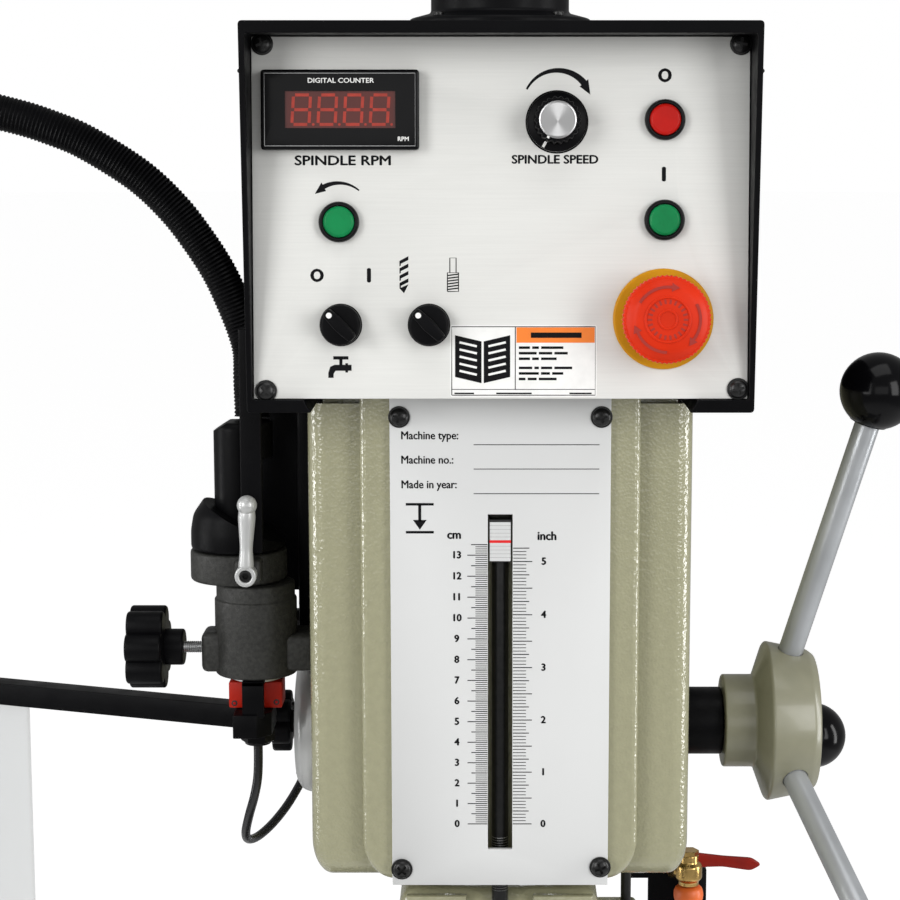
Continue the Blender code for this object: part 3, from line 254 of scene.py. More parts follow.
def materials():
    surface("enamel", (0.30, 0.292, 0.185), 0.22, (260, 0.04),
            [(700, 0.28, 0.5, "cells"), (380, 0.35, 0.5)], (500, 0.05), coat=0.7)
    surface("smooth_enamel", (0.215, 0.21, 0.145), 0.34, (120, 0.04), [(150, 0.08, 0.2)],
            (200, 0.04), coat=0.2)
    surface("dark_casting", (0.021, 0.021, 0.019), 0.55, (500, 0.35),
            [(1100, 0.25, 0.7), (400, 0.3, 0.4)], (300, 0.12), specular=0.3)
    surface("cast_iron", (0.075, 0.075, 0.07), 0.62, (35, 0.25),
            [(700, 0.4, 0.6), (150, 0.8, 0.4)], (200, 0.12), metallic=0.2)
    for name, roughness, mottle, bump, rough, specular in (
            ("black_coat", 0.42, (25, 0.2), (1800, 0.12, 0.45), (90, 0.07), 0.07),
            ("black_moulding", 0.42, (40, 0.2), (2200, 0.08, 0.3), (150, 0.06), 0.08),
            ("black_gloss", 0.15, (30, 0.2), (60, 0.1, 0.1), (80, 0.03), 0.14)):
        surface(name, (0.002, 0.002, 0.0025), roughness, mottle, [bump], rough,
                specular=specular)
    surface("panel_sheet", (0.665, 0.665, 0.64), 0.62, None,
            [((30, 1500, 1500), 0.02, 0.25)], (12, 0.05), specular=0.15,
            grain=((26, 1300, 1300), 0.02))
    surface("plate_sheet", (0.60, 0.605, 0.60), 0.5, (9, 0.02), [(1500, 0.03, 0.3)],
            (20, 0.05), specular=0.3)
    surface("ground_steel", (0.52, 0.53, 0.54), 0.24, (30, 0.08),
            [((60, 60, 2200), 0.02, 0.3)], (50, 0.06), metallic=1.0,
            grain=((40, 40, 1600), 0.05))
    surface("arm_steel", (0.40, 0.415, 0.43), 0.36, (25, 0.08), [(900, 0.05, 0.3)],
            (60, 0.07), metallic=0.5)
    surface("machined_iron", (0.21, 0.21, 0.205), 0.42, (22, 0.12),
            [((1300, 30, 30), 0.03, 0.4)], (40, 0.08), metallic=0.85,
            grain=((900, 30, 30), 0.08))
    surface("bright_alloy", (0.56, 0.565, 0.565), 0.33, (40, 0.04), [(400, 0.03, 0.15)],
            (90, 0.04), metallic=0.9)
    spun = surface("spun_cap", (0.42, 0.42, 0.42), 0.3, (60, 0.04), [(300, 0.02, 0.1)],
                   metallic=1.0)
    turned_finish = spun.node_tree.nodes["Principled BSDF"]
    tune(turned_finish, {"Anisotropic": 0.9})
    tangent = spun.node_tree.nodes.new("ShaderNodeTangent")
    tangent.direction_type, tangent.axis = "RADIAL", "Y"
    spun.node_tree.links.new(tangent.outputs[0], turned_finish.inputs["Tangent"])
    surface("satin_alloy", (0.47, 0.475, 0.47), 0.36, (40, 0.04), [(400, 0.03, 0.15)],
            (90, 0.04), metallic=0.35)
    surface("dull_alloy", (0.32, 0.325, 0.325), 0.42, (60, 0.15), [(500, 0.12, 0.4)],
            (90, 0.1), metallic=0.9)
    surface("screw_black", (0.010, 0.010, 0.010), 0.3, (300, 0.3), [(1500, 0.05, 0.3)],
            metallic=0.4)
    surface("lens_red", (0.44, 0.004, 0.001), 0.35, (90, 0.12), [(900, 0.12, 0.25, "cells")],
            specular=0.2)
    surface("lens_green", (0.0, 0.185, 0.052), 0.35, (90, 0.15),
            [(900, 0.12, 0.25, "cells")], specular=0.2)
    surface("mushroom", (0.56, 0.022, 0.002), 0.45, (60, 0.06), [(1500, 0.04, 0.3)],
            (90, 0.05), specular=0.15)
    surface("mushroom_mark", (0.30, 0.010, 0.002), 0.5, (60, 0.06), [(1500, 0.04, 0.3)])
    surface("yellow_disc", (0.50, 0.225, 0.0), 0.5, (50, 0.08), [(1200, 0.05, 0.3)],
            specular=0.2)
    surface("display_window", (0.075, 0.006, 0.003), 0.3, (60, 0.1), [(40, 0.05, 0.1)])
    surface("display_segment", (0.34, 0.022, 0.008), 0.35, (400, 0.15), [(900, 0.03, 0.2)])
    surface("ink", (0.004, 0.004, 0.005), 0.6, (500, 0.25), [(2500, 0.02, 0.2)],
            specular=0.1)
    for name, colour, roughness, amount in (
            ("white_print", (0.78, 0.78, 0.76), 0.42, 0.04),
            ("orange_print", (0.80, 0.19, 0.012), 0.4, 0.04),
            ("grey_print", (0.30, 0.30, 0.30), 0.5, 0.06),
            ("red_print", (0.70, 0.006, 0.008), 0.4, 0.06)):
        surface(name, colour, roughness, (200, amount), [(2500, 0.02, 0.2)])
    surface("switch_body", (0.42, 0.012, 0.002), 0.45, (90, 0.1), [(1500, 0.06, 0.3)],
            specular=0.2)
    # Near-black that paints the shade inside the interlock switch's holes.
    surface("switch_hole_shade", (0.015, 0.012, 0.012), 0.4, (90, 0.2), [(1500, 0.06, 0.3)])
    surface("cable_sheath", (0.004, 0.004, 0.005), 0.25, (80, 0.25), [(500, 0.08, 0.25)],
            (200, 0.05), coat=0.1)
    surface("brass", (0.56, 0.37, 0.13), 0.26, (120, 0.15), [(500, 0.08, 0.3)],
            (200, 0.08), metallic=1.0)
    surface("lever_red", (0.25, 0.008, 0.002), 0.36, (120, 0.12), [(700, 0.08, 0.3)],
            (150, 0.06), specular=0.25)
    surface("hose_orange", (0.70, 0.13, 0.02), 0.4, (60, 0.08), [(900, 0.06, 0.3)])
    surface("hose_blue", (0.006, 0.06, 0.26), 0.4, (60, 0.1), [(900, 0.06, 0.3)])
    surface("belt_rubber", (0.018, 0.018, 0.018), 0.75, (90, 0.3), [(1200, 0.15, 0.5)])
    surface("clear_sheet", (0.40, 0.42, 0.42), 0.1, (6, 0.02), [(20, 0.1, 0.05)], alpha=0.3)
    surface("motor_paint", (0.045, 0.052, 0.058), 0.42, (30, 0.15), [(900, 0.15, 0.4)],
            (90, 0.08))
    surface("bulb_glass", (0.85, 0.84, 0.80), 0.35, (60, 0.03), [(900, 0.03, 0.2)])


# ----------------------------------------------------------------- geometry

TINY = 1e-6                   # lengths below it count as none


def along(point, direction, side=Z_AXIS):
    """Frame at a point whose local Z runs along a direction."""
    z = Vector(direction).normalized()
    x = Vector(side).cross(z)
    if x.length < TINY:
        x = Vector(X_AXIS)
    x.normalize()
    turn = Matrix((x, z.cross(x), z)).transposed().to_4x4()
    return Matrix.Translation(Vector(point)) @ turn


def in_head(x, y, z, direction=Z_AXIS, side=Z_AXIS):
    return HEAD @ along((x, y, z), direction, side)


PANEL_LEAN = math.radians(4)
PANEL_FOOT = Vector((0, -25, 205))


def on_panel(across=0.0, up=0.0, out=0.0, turn=0.0):
    """Frame on the panel's face: local X across, Y up the panel, Z out of it."""
    lean = Vector((0, math.sin(PANEL_LEAN), math.cos(PANEL_LEAN)))
    axes = Matrix((X_AXIS, lean, Vector(X_AXIS).cross(lean))).transposed().to_4x4()
    spot = Matrix.Translation((across, up, out))
    return HEAD @ Matrix.Translation(PANEL_FOOT) @ axes @ spot @ Matrix.Rotation(turn, 4, "Z")


def on_plate(x, z, out=0.0):
    """Frame on the scale plate's face: local X across, Y up, Z towards the operator."""
    return in_head(x, -out, z, (0, -1, 0))


def around(place, count, start=0.0):
    """Frames turned about a place's Z axis in even steps."""
    return [place @ Matrix.Rotation(TURN * i / count + start, 4, "Z") for i in range(count)]


def polar(radius, angle, centre=(0, 0)):
    return (centre[0] + radius * math.cos(angle), centre[1] + radius * math.sin(angle))


def rectangle(left, low, right, high):
    return [(left, low), (right, low), (right, high), (left, high)]


def painted(bm, material):
    """Gives a whole solid one material; piece() collects the materials."""
    layer = bm.faces.layers.int.new("finish")
    number = list(MATERIALS).index(material)
    for face in bm.faces:
        face[layer] = number
    return bm


def fillet(points, radius, steps=3, closed=False):
    """A polyline with its corners rounded."""
    knots = [Vector(p) for p in points]
    count = len(knots)
    made = []
    for i, corner in enumerate(knots):
        if not closed and i in (0, count - 1):
            made.append(tuple(corner))
            continue
        before, after = knots[i - 1] - corner, knots[(i + 1) % count] - corner
        reach = min(radius, before.length * 0.48, after.length * 0.48)
        start = corner + before.normalized() * reach
        end = corner + after.normalized() * reach
        for k in range(steps + 1):
            t = k / steps
            spot = start * (1 - t) ** 2 + corner * 2 * t * (1 - t) + end * t * t
            made.append(tuple(spot))
    return made


def finished(bm, place):
    """A solid with its faces turned outwards, put in its place."""
    bmesh.ops.recalc_face_normals(bm, faces=bm.faces)
    bm.transform(place)
    return bm


def rounded(bm, edges, width, segments):
    """Bevels some of a solid's edges; a width of 0 leaves them sharp."""
    if width:
        bmesh.ops.bevel(bm, geom=edges, offset=width, segments=segments, profile=0.5,
                        affect="EDGES", clamp_overlap=True)


def lathe(profile, place, steps=64, ring=False):
    """A turned solid from (radius, height) points."""
    bm = bmesh.new()
    rings = []
    for radius, height in profile:
        if radius < TINY:
            rings.append([bm.verts.new((0, 0, height))])
        else:
            rings.append([bm.verts.new((*polar(radius, TURN * i / steps), height))
                          for i in range(steps)])
    if ring:
        rings.append(rings[0])
    for low, high in zip(rings, rings[1:]):
        for i in range(steps):
            j = (i + 1) % steps
            corners = [low[i % len(low)], low[j % len(low)],
                       high[j % len(high)], high[i % len(high)]]
            corners = list(dict.fromkeys(corners))
            if len(corners) > 2:
                bm.faces.new(corners)
    return finished(bm, place)


def turned(profile, edge, place, steps=64, bends=3, ring=False):
    """A turned solid or ring whose profile has rounded corners."""
    return lathe(fillet(profile, edge, bends, ring), place, steps, ring)


def prism(outline, low, high, place, edge=0.0, segments=2):
    """A closed outline extruded between two heights, with its rims rounded."""
    bm = bmesh.new()
    foot = bm.faces.new([bm.verts.new((x, y, low)) for x, y in outline])
    raised = bmesh.ops.extrude_face_region(bm, geom=[foot])["geom"]
    bmesh.ops.translate(bm, verts=[v for v in raised if isinstance(v, bmesh.types.BMVert)],
                        vec=(0, 0, high - low))
    bmesh.ops.recalc_face_normals(bm, faces=bm.faces)
    rims = [e for e in bm.edges if abs(e.verts[0].co.z - e.verts[1].co.z) < TINY]
    rounded(bm, rims, edge, segments)
    bm.transform(place)
    return bm


def box(low, high, place=HEAD, edge=0.0, segments=2):
    low, high = Vector(low), Vector(high)
    bm = bmesh.new()
    bmesh.ops.create_cube(bm, size=1)
    bmesh.ops.scale(bm, vec=high - low, verts=bm.verts)
    rounded(bm, list(bm.edges), edge, segments)
    bm.transform(place @ Matrix.Translation((low + high) / 2))
    return bm


def ball(radius, place):
    bm = bmesh.new()
    bmesh.ops.create_uvsphere(bm, u_segments=32, v_segments=16, radius=radius)
    bm.transform(place)
    return bm


def arc(radius, start=0.0, end=TURN, steps=32, centre=(0, 0)):
    """Points along an arc; a whole circle doesn't repeat its first point."""
    count = steps if abs(end - start - TURN) < 1e-9 else steps + 1
    return [polar(radius, start + (end - start) * i / steps, centre) for i in range(count)]


def band(points, width, place, height=0.05):
    """A printed line of one width along flat points."""
    bm = bmesh.new()
    sides = []
    for i, point in enumerate(points):
        here = Vector(point)
        ahead = Vector(points[min(i + 1, len(points) - 1)])
        behind = Vector(points[max(i - 1, 0)])
        way = (ahead - behind).normalized()
        off = Vector((-way.y, way.x)) * width / 2
        sides.append([bm.verts.new((*(here + off), height)), bm.verts.new((*(here - off), height))])
    for a, b in zip(sides, sides[1:]):
        bm.faces.new([a[0], a[1], b[1], b[0]])
    bm.transform(place)
    return bm


def shape(outline, place, height=0.05):
    """A flat printed shape."""
    bm = bmesh.new()
    bm.faces.new([bm.verts.new((x, y, height)) for x, y in outline])
    bm.transform(place)
    return bm


FONT_SIZE = 1.37              # makes the capitals one unit high
LETTERS_OUT = 0.06            # height of the print over its face, in mm


def lettering(words, size, place, weight=0.0, align="CENTER", stretch=1.0):
    """Flat print with capitals of a size in mm; weight is how far its strokes are thickened."""
    data = bpy.data.curves.new("print", "FONT")
    data.body = words
    data.size = FONT_SIZE
    data.align_x = align
    data.align_y = "CENTER"
    data.resolution_u = 3
    holder = linked("print", data)
    graph = bpy.context.evaluated_depsgraph_get()
    mesh = bpy.data.meshes.new_from_object(holder.evaluated_get(graph))
    mesh.transform(Matrix.Diagonal((size * stretch, size, size, 1)))
    bm = bmesh.new()
    spots = [(0, 0)]
    if weight:
        spots = [(weight, 0), (-weight, 0), (0, weight * 0.7), (0, -weight * 0.7)]
    previous = Vector((0, 0, 0))
    for level, (across, up) in enumerate(spots):
        spot = Vector((across, up, LETTERS_OUT + level * 0.004))
        mesh.transform(Matrix.Translation(spot - previous))
        previous = spot
        bm.from_mesh(mesh)
    bpy.data.objects.remove(holder)
    bpy.data.curves.remove(data)
    bpy.data.meshes.remove(mesh)
    bm.transform(place)
    return bm


def smooth_path(route, spacing):
    """Points along a Catmull-Rom curve through a route, about a spacing apart."""
    knots = [Vector(p) for p in route]
    knots = [2 * knots[0] - knots[1]] + knots + [2 * knots[-1] - knots[-2]]
    points = []
    for a, b, c, d in zip(knots, knots[1:], knots[2:], knots[3:]):
        count = max(1, round((c - b).length / spacing))
        for i in range(count):
            t = i / count
            points.append(((2 * b) + (c - a) * t + (2 * a - 5 * b + 4 * c - d) * t * t
                           + (3 * b - a - 3 * c + d) * t ** 3) / 2)
    points.append(knots[-2])
    return points


def evenly(points, step):
    """Points along a path at an even step."""
    found, travelled, due = [points[0]], 0.0, step
    for a, b in zip(points, points[1:]):
        long = (b - a).length
        while due <= travelled + long:
            found.append(a.lerp(b, (due - travelled) / long))
            due += step
        travelled += long
    return found


def sweep(points, radii, sides=24, place=WORLD):
    """A tube along points with its own radius at each."""
    bm = bmesh.new()
    rings = []
    way = (points[1] - points[0]).normalized()
    across = way.orthogonal().normalized()
    for i, point in enumerate(points):
        ahead = points[min(i + 1, len(points) - 1)] - points[max(i - 1, 0)]
        bend = way.rotation_difference(ahead.normalized())
        across = (bend @ across).normalized()
        way = ahead.normalized()
        other = way.cross(across)
        rings.append([bm.verts.new(point + radii[i] * (across * math.cos(TURN * k / sides)
                                                       + other * math.sin(TURN * k / sides)))
                      for k in range(sides)])
    for low, high in zip(rings, rings[1:]):
        for k in range(sides):
            bm.faces.new([low[k], low[(k + 1) % sides], high[(k + 1) % sides], high[k]])
    bm.faces.new(list(reversed(rings[0])))
    bm.faces.new(rings[-1])
    return finished(bm, place)


def rod(radius, start, end, edge=0.6, steps=40, place=HEAD):
    """A round bar between two points, with its rims rounded."""
    start, end = Vector(start), Vector(end)
    long = (end - start).length
    return turned(rectangle(0, 0, radius, long), edge, place @ along(start, end - start),
                  steps)


def combined(first, second, operation):
    """Exact boolean of two solids."""
    holders = []
    for bm in (first, second):
        mesh = bpy.data.meshes.new("tool")
        bm.to_mesh(mesh)
        bm.free()
        holders.append(linked("tool", mesh))
    step = holders[0].modifiers.new("join", "BOOLEAN")
    step.operation, step.solver, step.object = operation, "EXACT", holders[1]
    graph = bpy.context.evaluated_depsgraph_get()
    mesh = bpy.data.meshes.new_from_object(holders[0].evaluated_get(graph))
    made = bmesh.new()
    made.from_mesh(mesh)
    for holder in holders:
        old = holder.data
        bpy.data.objects.remove(holder)
        bpy.data.meshes.remove(old)
    bpy.data.meshes.remove(mesh)
    return made


def cut(body, *tools):
    for tool in tools:
        body = combined(body, tool, "DIFFERENCE")
    return body


def fused(body, *tools):
    for tool in tools:
        body = combined(body, tool, "UNION")
    return body


def soften(made, width, segments, crease):
    """Rounds an object's creases with a modifier; its width is in mm."""
    step = made.modifiers.new("rounding", "BEVEL")
    step.width, step.segments = width * MM, segments
    step.limit_method, step.angle_limit = "ANGLE", math.radians(crease)
    step.harden_normals = True


def piece(name, solids, body, finish, replaces=(), crease=35, rounding=0.0,
          segments=2):
    """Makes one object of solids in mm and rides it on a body.

    A solid that went through painted() keeps its own material; finish is the rest's.
    """
    total = bmesh.new()
    layer = total.faces.layers.int.new("finish")
    base = list(MATERIALS).index(finish)
    for solid in solids:
        has_own = "finish" in solid.faces.layers.int
        mesh = bpy.data.meshes.new("part")
        solid.to_mesh(mesh)
        known = len(total.faces)
        total.from_mesh(mesh)
        total.faces.ensure_lookup_table()
        if not has_own:
            for face in total.faces[known:]:
                face[layer] = base
        solid.free()
        bpy.data.meshes.remove(mesh)
    total.transform(Matrix.Scale(MM, 4))
    mesh = bpy.data.meshes.new(name)
    numbers = [face[layer] for face in total.faces]
    total.to_mesh(mesh)
    total.free()
    used = sorted(set(numbers))
    names = list(MATERIALS)
    for number in used:
        mesh.materials.append(MATERIALS[names[number]])
    for polygon, number in zip(mesh.polygons, numbers):
        polygon.material_index = used.index(number)
    mesh.shade_smooth()
    mesh.set_sharp_from_angle(angle=math.radians(crease))
    made = linked(name, mesh)
    if rounding:
        soften(made, rounding, segments, crease)
    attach(made, body)
    if replaces:
        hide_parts(*replaces)
    return made


WELD = 0.00002                # metres between the vertices that become one
CAD_CREASE = 28               # degrees from which a CAD node's edges are rounded


def dress(node, finish, rounding, segments=2):
    """A CAD node that keeps its shape: its edges are softened and it gets its finish."""
    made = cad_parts[node]
    made.data.materials.clear()
    made.data.materials.append(MATERIALS[finish])
    for polygon in made.data.polygons:
        polygon.material_index = 0
    made.data.shade_smooth()
    weld = made.modifiers.new("weld", "WELD")
    weld.merge_threshold = WELD
    soften(made, rounding, segments, CAD_CREASE)


# --------------------------------------------------------- the switch cable

CABLE_DIAMETER = 0.0046
CABLE_ROUTE = [(-121, 60, 23.6), (-121, 60, 14), (-121.6, 60.5, 4), (-123.6, 62, -6),
               (-126.8, 66, -17), (-129.4, 73, -28), (-129.2, 83, -35), (-125.4, 94, -37),
               (-119, 106, -34), (-112, 119, -27.5), (-105.5, 132, -18), (-100.5, 143, -7),
               (-96, 150, 1), (-92.9, 151.3, 3)]


def switch_cable():
    points = smooth_path(CABLE_ROUTE, 3)
    radius = CABLE_DIAMETER / MM / 2
    made = piece("interlock_cable", [sweep(points, [radius] * len(points), 20, HEAD)],
                 "root", "cable_sheath", ["switch_cable"])


# ----------------------------------------------------------------- fasteners

def cross_screw(radius, height, place, turn=0.3):
    """A pan-head screw with a cross recess on a washer."""
    rim, thick = radius * 1.16, 0.7
    washer = turned(rectangle(0, 0, rim, thick), 0.3, place, 28)
    dome = [(radius * math.cos(a), thick + (height - thick) * math.sin(a))
            for a in (i * math.pi / 16 for i in range(8))]
    head_of_screw = lathe([(0, 0.5), (radius, 0.5)] + dome + [(0, height)], place, 28)
    spun = place @ Matrix.Rotation(turn, 4, "Z")
    arm, wide, deep = radius * 0.62, radius * 0.14, height * 0.45
    recess = [(wide, wide), (wide, arm), (-wide, arm), (-wide, wide), (-arm, wide),
              (-arm, -wide), (-wide, -wide), (-wide, -arm), (wide, -arm), (wide, -wide),
              (arm, -wide), (arm, wide)]
    return [washer, cut(head_of_screw, prism(recess, deep, height + 1, spun))]


def socket_screw(radius, height, place):
    """A cap screw with a hexagon socket."""
    body = turned(rectangle(0, 0, radius, height), 0.5, place, 32)
    return cut(body, prism(arc(radius * 0.58, steps=6), height * 0.45, height + 1, place))


def hex_nut(across, low, high, place):
    """A hexagon nut or bolt head with chamfered corners."""
    corner = across / math.sqrt(3)
    body = prism(arc(corner, steps=6), low, high, place, 0.3, 1)
    inner, outer, chamfer = corner * 0.93, corner * 1.01, corner * 0.07
    cone = lathe([(0, low), (inner, low), (outer, low + chamfer), (outer, high - chamfer),
                  (inner, high), (0, high)], place, 36)
    return combined(body, cone, "INTERSECT")


def thread(radius, pitch, start, end):
    """A threaded stud: close rings that stand for the thread."""
    start, end = Vector(start), Vector(end)
    long, root = (end - start).length, radius * 0.88
    profile = [(0, 0)]
    for i in range(int(long / pitch)):
        profile += [(root, i * pitch), (radius, (i + 0.5) * pitch)]
    profile += [(root, long), (0, long)]
    return lathe(profile, HEAD @ along(start, end - start), 24)


def bore(radius, y, low, high, steps):
    """An upright round tool for cut()."""
    return rod(radius, (0, y, low), (0, y, high), 0.1, steps)


# --------------------------------------------------------- operator's panel

BUTTONS = {"coolant_button": ((-72.4, 80.8), "lens_green", "signal_green"),
           "stop_button": ((73.3, 126.2), "lens_red", "signal_red"),
           "start_button": ((73.3, 81.7), "lens_green", "signal_green")}
SELECTORS = {"function_selector": (-71.8, 34.8), "tapping_selector": (-32.2, 34.8)}
SPEED_KNOB = (25.1, 125.3)
ESTOP = (73.0, 37.5)
PANEL_SCREWS = [(-106.3, 159.7), (107.0, 159.7), (-105.7, 5.1), (106.9, 6.0)]
CASE_OUT = 6.0                # the display's case over the panel's face
SEGMENTS = [((-1, 2), (1, 2)), ((1, 2), (1, 0)), ((1, 0), (1, -2)), ((-1, -2), (1, -2)),
            ((-1, 0), (-1, -2)), ((-1, 2), (-1, 0)), ((-1, 0), (1, 0))]


def panel():
    dress("control_panel", "panel_sheet", 0.5)
    screws = []
    for i, spot in enumerate(PANEL_SCREWS):
        screws += cross_screw(4.3, 3.0, on_panel(*spot), 0.4 + i)
    piece("panel_screws", screws, "root", "screw_black")
    panel_print()
    plain_notice()


def display():
    case = prism(fillet(rectangle(-106.6, 112.6, -36.3, 148.0), 1.6, 4, True), 0.3, CASE_OUT,
                 on_panel(), 0.9, 3)
    window = prism(rectangle(-95.8, 122.2, -46.8, 138.5), 4.6, 9, on_panel())
    glass = box((-95.9, 122.1, 4.2), (-46.7, 138.6, 5.1), on_panel())
    solids = [cut(case, window), painted(glass, "display_window")]
    slant, half, rise, row, out = 0.20, 3.8, 3.25, 130.3, 5.18
    for digit in range(4):
        middle = -88.6 + digit * 11.6
        marks = []
        for ends in SEGMENTS:
            start, end = [Vector((middle + x * half + y * slant, row + y * rise))
                          for x, y in ends]
            inset = (end - start).normalized() * 0.75
            marks.append(band([start + inset, end - inset], 1.35, on_panel(), out))
        dot = arc(0.6, steps=10, centre=(middle + 5.3, row - 2 * rise))
        marks.append(shape(dot, on_panel(), out))
        solids += [painted(mark, "display_segment") for mark in marks]
    for x, y, words, size, long in ((-71, 143.0, "DIGITAL COUNTER", 2.2, 1.12),
                                    (-43.3, 117.3, "RPM", 2.0, 1.0)):
        label = lettering(words, size, on_panel(x, y, CASE_OUT), 0.06, stretch=long)
        solids.append(painted(label, "white_print"))
    rim = rectangle(-104.9, 114.3, -38.0, 146.3)
    solids.append(painted(band(rim + rim[:1], 0.3, on_panel(0, 0, CASE_OUT)), "grey_print"))
    piece("rpm_display", solids, "root", "black_gloss", ["speed_display"])


def arrow_arc(centre, radius, start, end, width, size):
    """A printed arc that swells towards its arrow head."""
    start, end = math.radians(start), math.radians(end)
    steps = 24
    rims = [[], []]
    for i in range(steps + 1):
        angle = start + (end - start) * i / steps
        half = width * (0.18 + 0.42 * i / steps)
        for rim, reach in zip(rims, (radius + half, radius - half)):
            rim.append(polar(reach, angle, centre))
    way = 1 if end > start else -1
    outer, inner = [polar(radius + side * size * 0.42, end, centre) for side in (1, -1)]
    point = polar(radius, end + way * size / radius, centre)
    return [shape(rims[0] + rims[1][::-1], on_panel()),
            shape([outer, point, inner], on_panel())]


def panel_print():
    solids = []
    for words, across, up, size, weight, long in (
            ("SPINDLE RPM", -70.5, 108.0, 4.4, 0.22, 1.22),
            ("SPINDLE SPEED", 24.3, 108.5, 3.9, 0.2, 1.08),
            ("O", -82.4, 56.7, 5.7, 0.42, 0.92), ("I", -59.1, 56.7, 6.3, 0.4, 1.2),
            ("O", 73.2, 145.6, 5.9, 0.42, 0.9), ("I", 73.0, 101.8, 6.4, 0.4, 1.2)):
        solids.append(lettering(words, size, on_panel(across, up), weight, stretch=long))
    solids += arrow_arc((-72.5, 84.0), 14.2, 50, 118, 1.8, 5.2)
    solids += arrow_arc((25.3, 132.7), 15.4, 153, 40, 2.5, 6.0)
    solids += drill_icon(-43.4, 57.2) + tap_icon(-21.4, 57.2) + faucet_icon(-72.3, 15.4)
    piece("panel_print", solids, "root", "ink")


def drill_icon(x, y):
    """A twist drill: slanted flutes above a point."""
    solids = []
    for i in range(4):
        z = y + 6.4 - i * 3.3
        solids.append(shape([(x - 2.0, z - 1.7), (x + 2.0, z + 0.3), (x + 2.0, z + 2.0),
                             (x - 2.0, z - 0.1)], on_panel()))
        solids.append(shape([(x - 2.0, z - 0.7), (x - 1.4, z - 0.4), (x - 1.4, z - 2.2),
                             (x - 2.0, z - 2.6)], on_panel()))
    solids.append(shape([(x - 2.0, y - 6.0), (x + 2.0, y - 4.2), (x, y - 8.2)], on_panel()))
    return solids


def tap_icon(x, y):
    """A tap: a plain shank over a threaded part."""
    rim = [(x - 1.4, y + 1), (x - 1.4, y + 7.6), (x + 1.4, y + 7.6), (x + 1.4, y + 1)]
    solids = [band(rim, 0.45, on_panel())]
    rim = [(x - 2.5, y - 7.4), (x - 2.5, y + 1), (x + 2.5, y + 1), (x + 2.5, y - 7.4),
           (x - 2.5, y - 7.4)]
    solids.append(band(rim, 0.45, on_panel()))
    for i in range(6):
        z = y - 6.2 + i * 1.25
        solids.append(band([(x - 2.4, z - 0.3), (x + 2.4, z + 0.3)], 0.6, on_panel()))
    return solids


def faucet_icon(x, y):
    body = [(-5.3, -2.2), (-5.3, -4.4), (-2.9, -4.4), (-2.9, -2.6), (-2.0, -1.2), (2.4, -1.2),
            (2.4, -2.0), (3.6, -2.0), (3.6, 2.2), (2.4, 2.2), (2.4, 1.5), (-2.4, 1.5),
            (-4.4, 0.6)]
    place = on_panel()
    return [shape([(x + a, y + b) for a, b in outline], place)
            for outline in (body, rectangle(3.6, -1.2, 5.2, 1.5))] + [
                band([(x + 0.4, y + 1.2), (x + 0.4, y + 4.4)], 1.4, place),
                band([(x - 3.0, y + 4.6), (x + 3.8, y + 4.6)], 1.5, place)]


def plain_notice():
    """A plain stand-in for the printed notice: blank bars, a band and a book sign."""
    left, low, right, high, split = -22.8, 2.4, 43.4, 34.8, 6.6
    sheet = fillet(rectangle(left, low, right, high), 1.2, 3, True)
    solids = [painted(prism(sheet, 0.02, 0.12, on_panel()), "white_print")]
    face = on_panel(0, 0, 0.12)
    rim = rectangle(left + 0.8, low + 0.8, right - 0.8, high - 0.8)
    orange = rectangle(split + 0.5, high - 8.0, right - 1.1, high - 1.1)
    solids.append(band(rim + rim[:1], 0.4, face))
    solids.append(band([(split, low + 3.2), (split, high - 0.8)], 0.4, face))
    solids.append(band([(left + 0.8, low + 3.4), (right - 0.8, low + 3.4)], 0.3, face))
    solids.append(painted(shape(orange, face, 0.04), "orange_print"))
    solids.append(band([(split + 7, high - 4.6), (right - 7, high - 4.6)], 2.4, face, 0.09))
    bars = ((5, 3, 10), (8, 6, 6), (5, 3, 7), (6, 2, 5, 8), (9, 4, 5), (3, 4, 8))
    for i, words in enumerate(bars):
        up = high - 10.2 - i * 2.5 - (1.6 if i > 2 else 0)
        across = split + 1.6
        for word in words:
            solids.append(band([(across, up), (across + word, up)], 1.15, face))
            across += word + 1.0
    spine = (left + split) / 2
    for side in (-1, 1):
        page = [(spine + side * x, y) for x, y in ((0.5, 8.6), (12.4, 11.4), (12.4, 30.2),
                                                   (0.5, 27.4))]
        solids.append(shape(page[::side], face))
        for i in range(5):
            up = 12.4 + i * 3.2
            line = band([(spine + side * 2.6, up), (spine + side * 10.4, up + 1.8)], 1.0,
                        face, 0.11)
            solids.append(painted(line, "white_print"))
    for start, end in ((-20.8, -12.0), (-2.0, 14.0), (31.0, 41.0)):
        solids.append(band([(start, 4.0), (end, 4.0)], 0.7, face))
    piece("plain_notice", solids, "root", "ink")


def controls():
    for node, (spot, lens, slot) in BUTTONS.items():
        place = on_panel(*spot)
        bezel = turned([(7.2, 0), (9.1, 0), (9.1, 2.2), (8.5, 3.4), (7.2, 3.4)], 0.3, place,
                       48, ring=True)
        piece(node + "_bezel", [bezel], "root", "black_gloss")
        cap = turned([(0, 4.4), (6.0, 4.9), (6.95, 4.0), (6.95, -11.5), (0, -11.5)], 0.5,
                     place, 48)
        piece(node + "_lens", [cap], node, lens, [node])
    for node, spot in SELECTORS.items():
        selector(node, spot)
    speed_knob()
    emergency_stop()


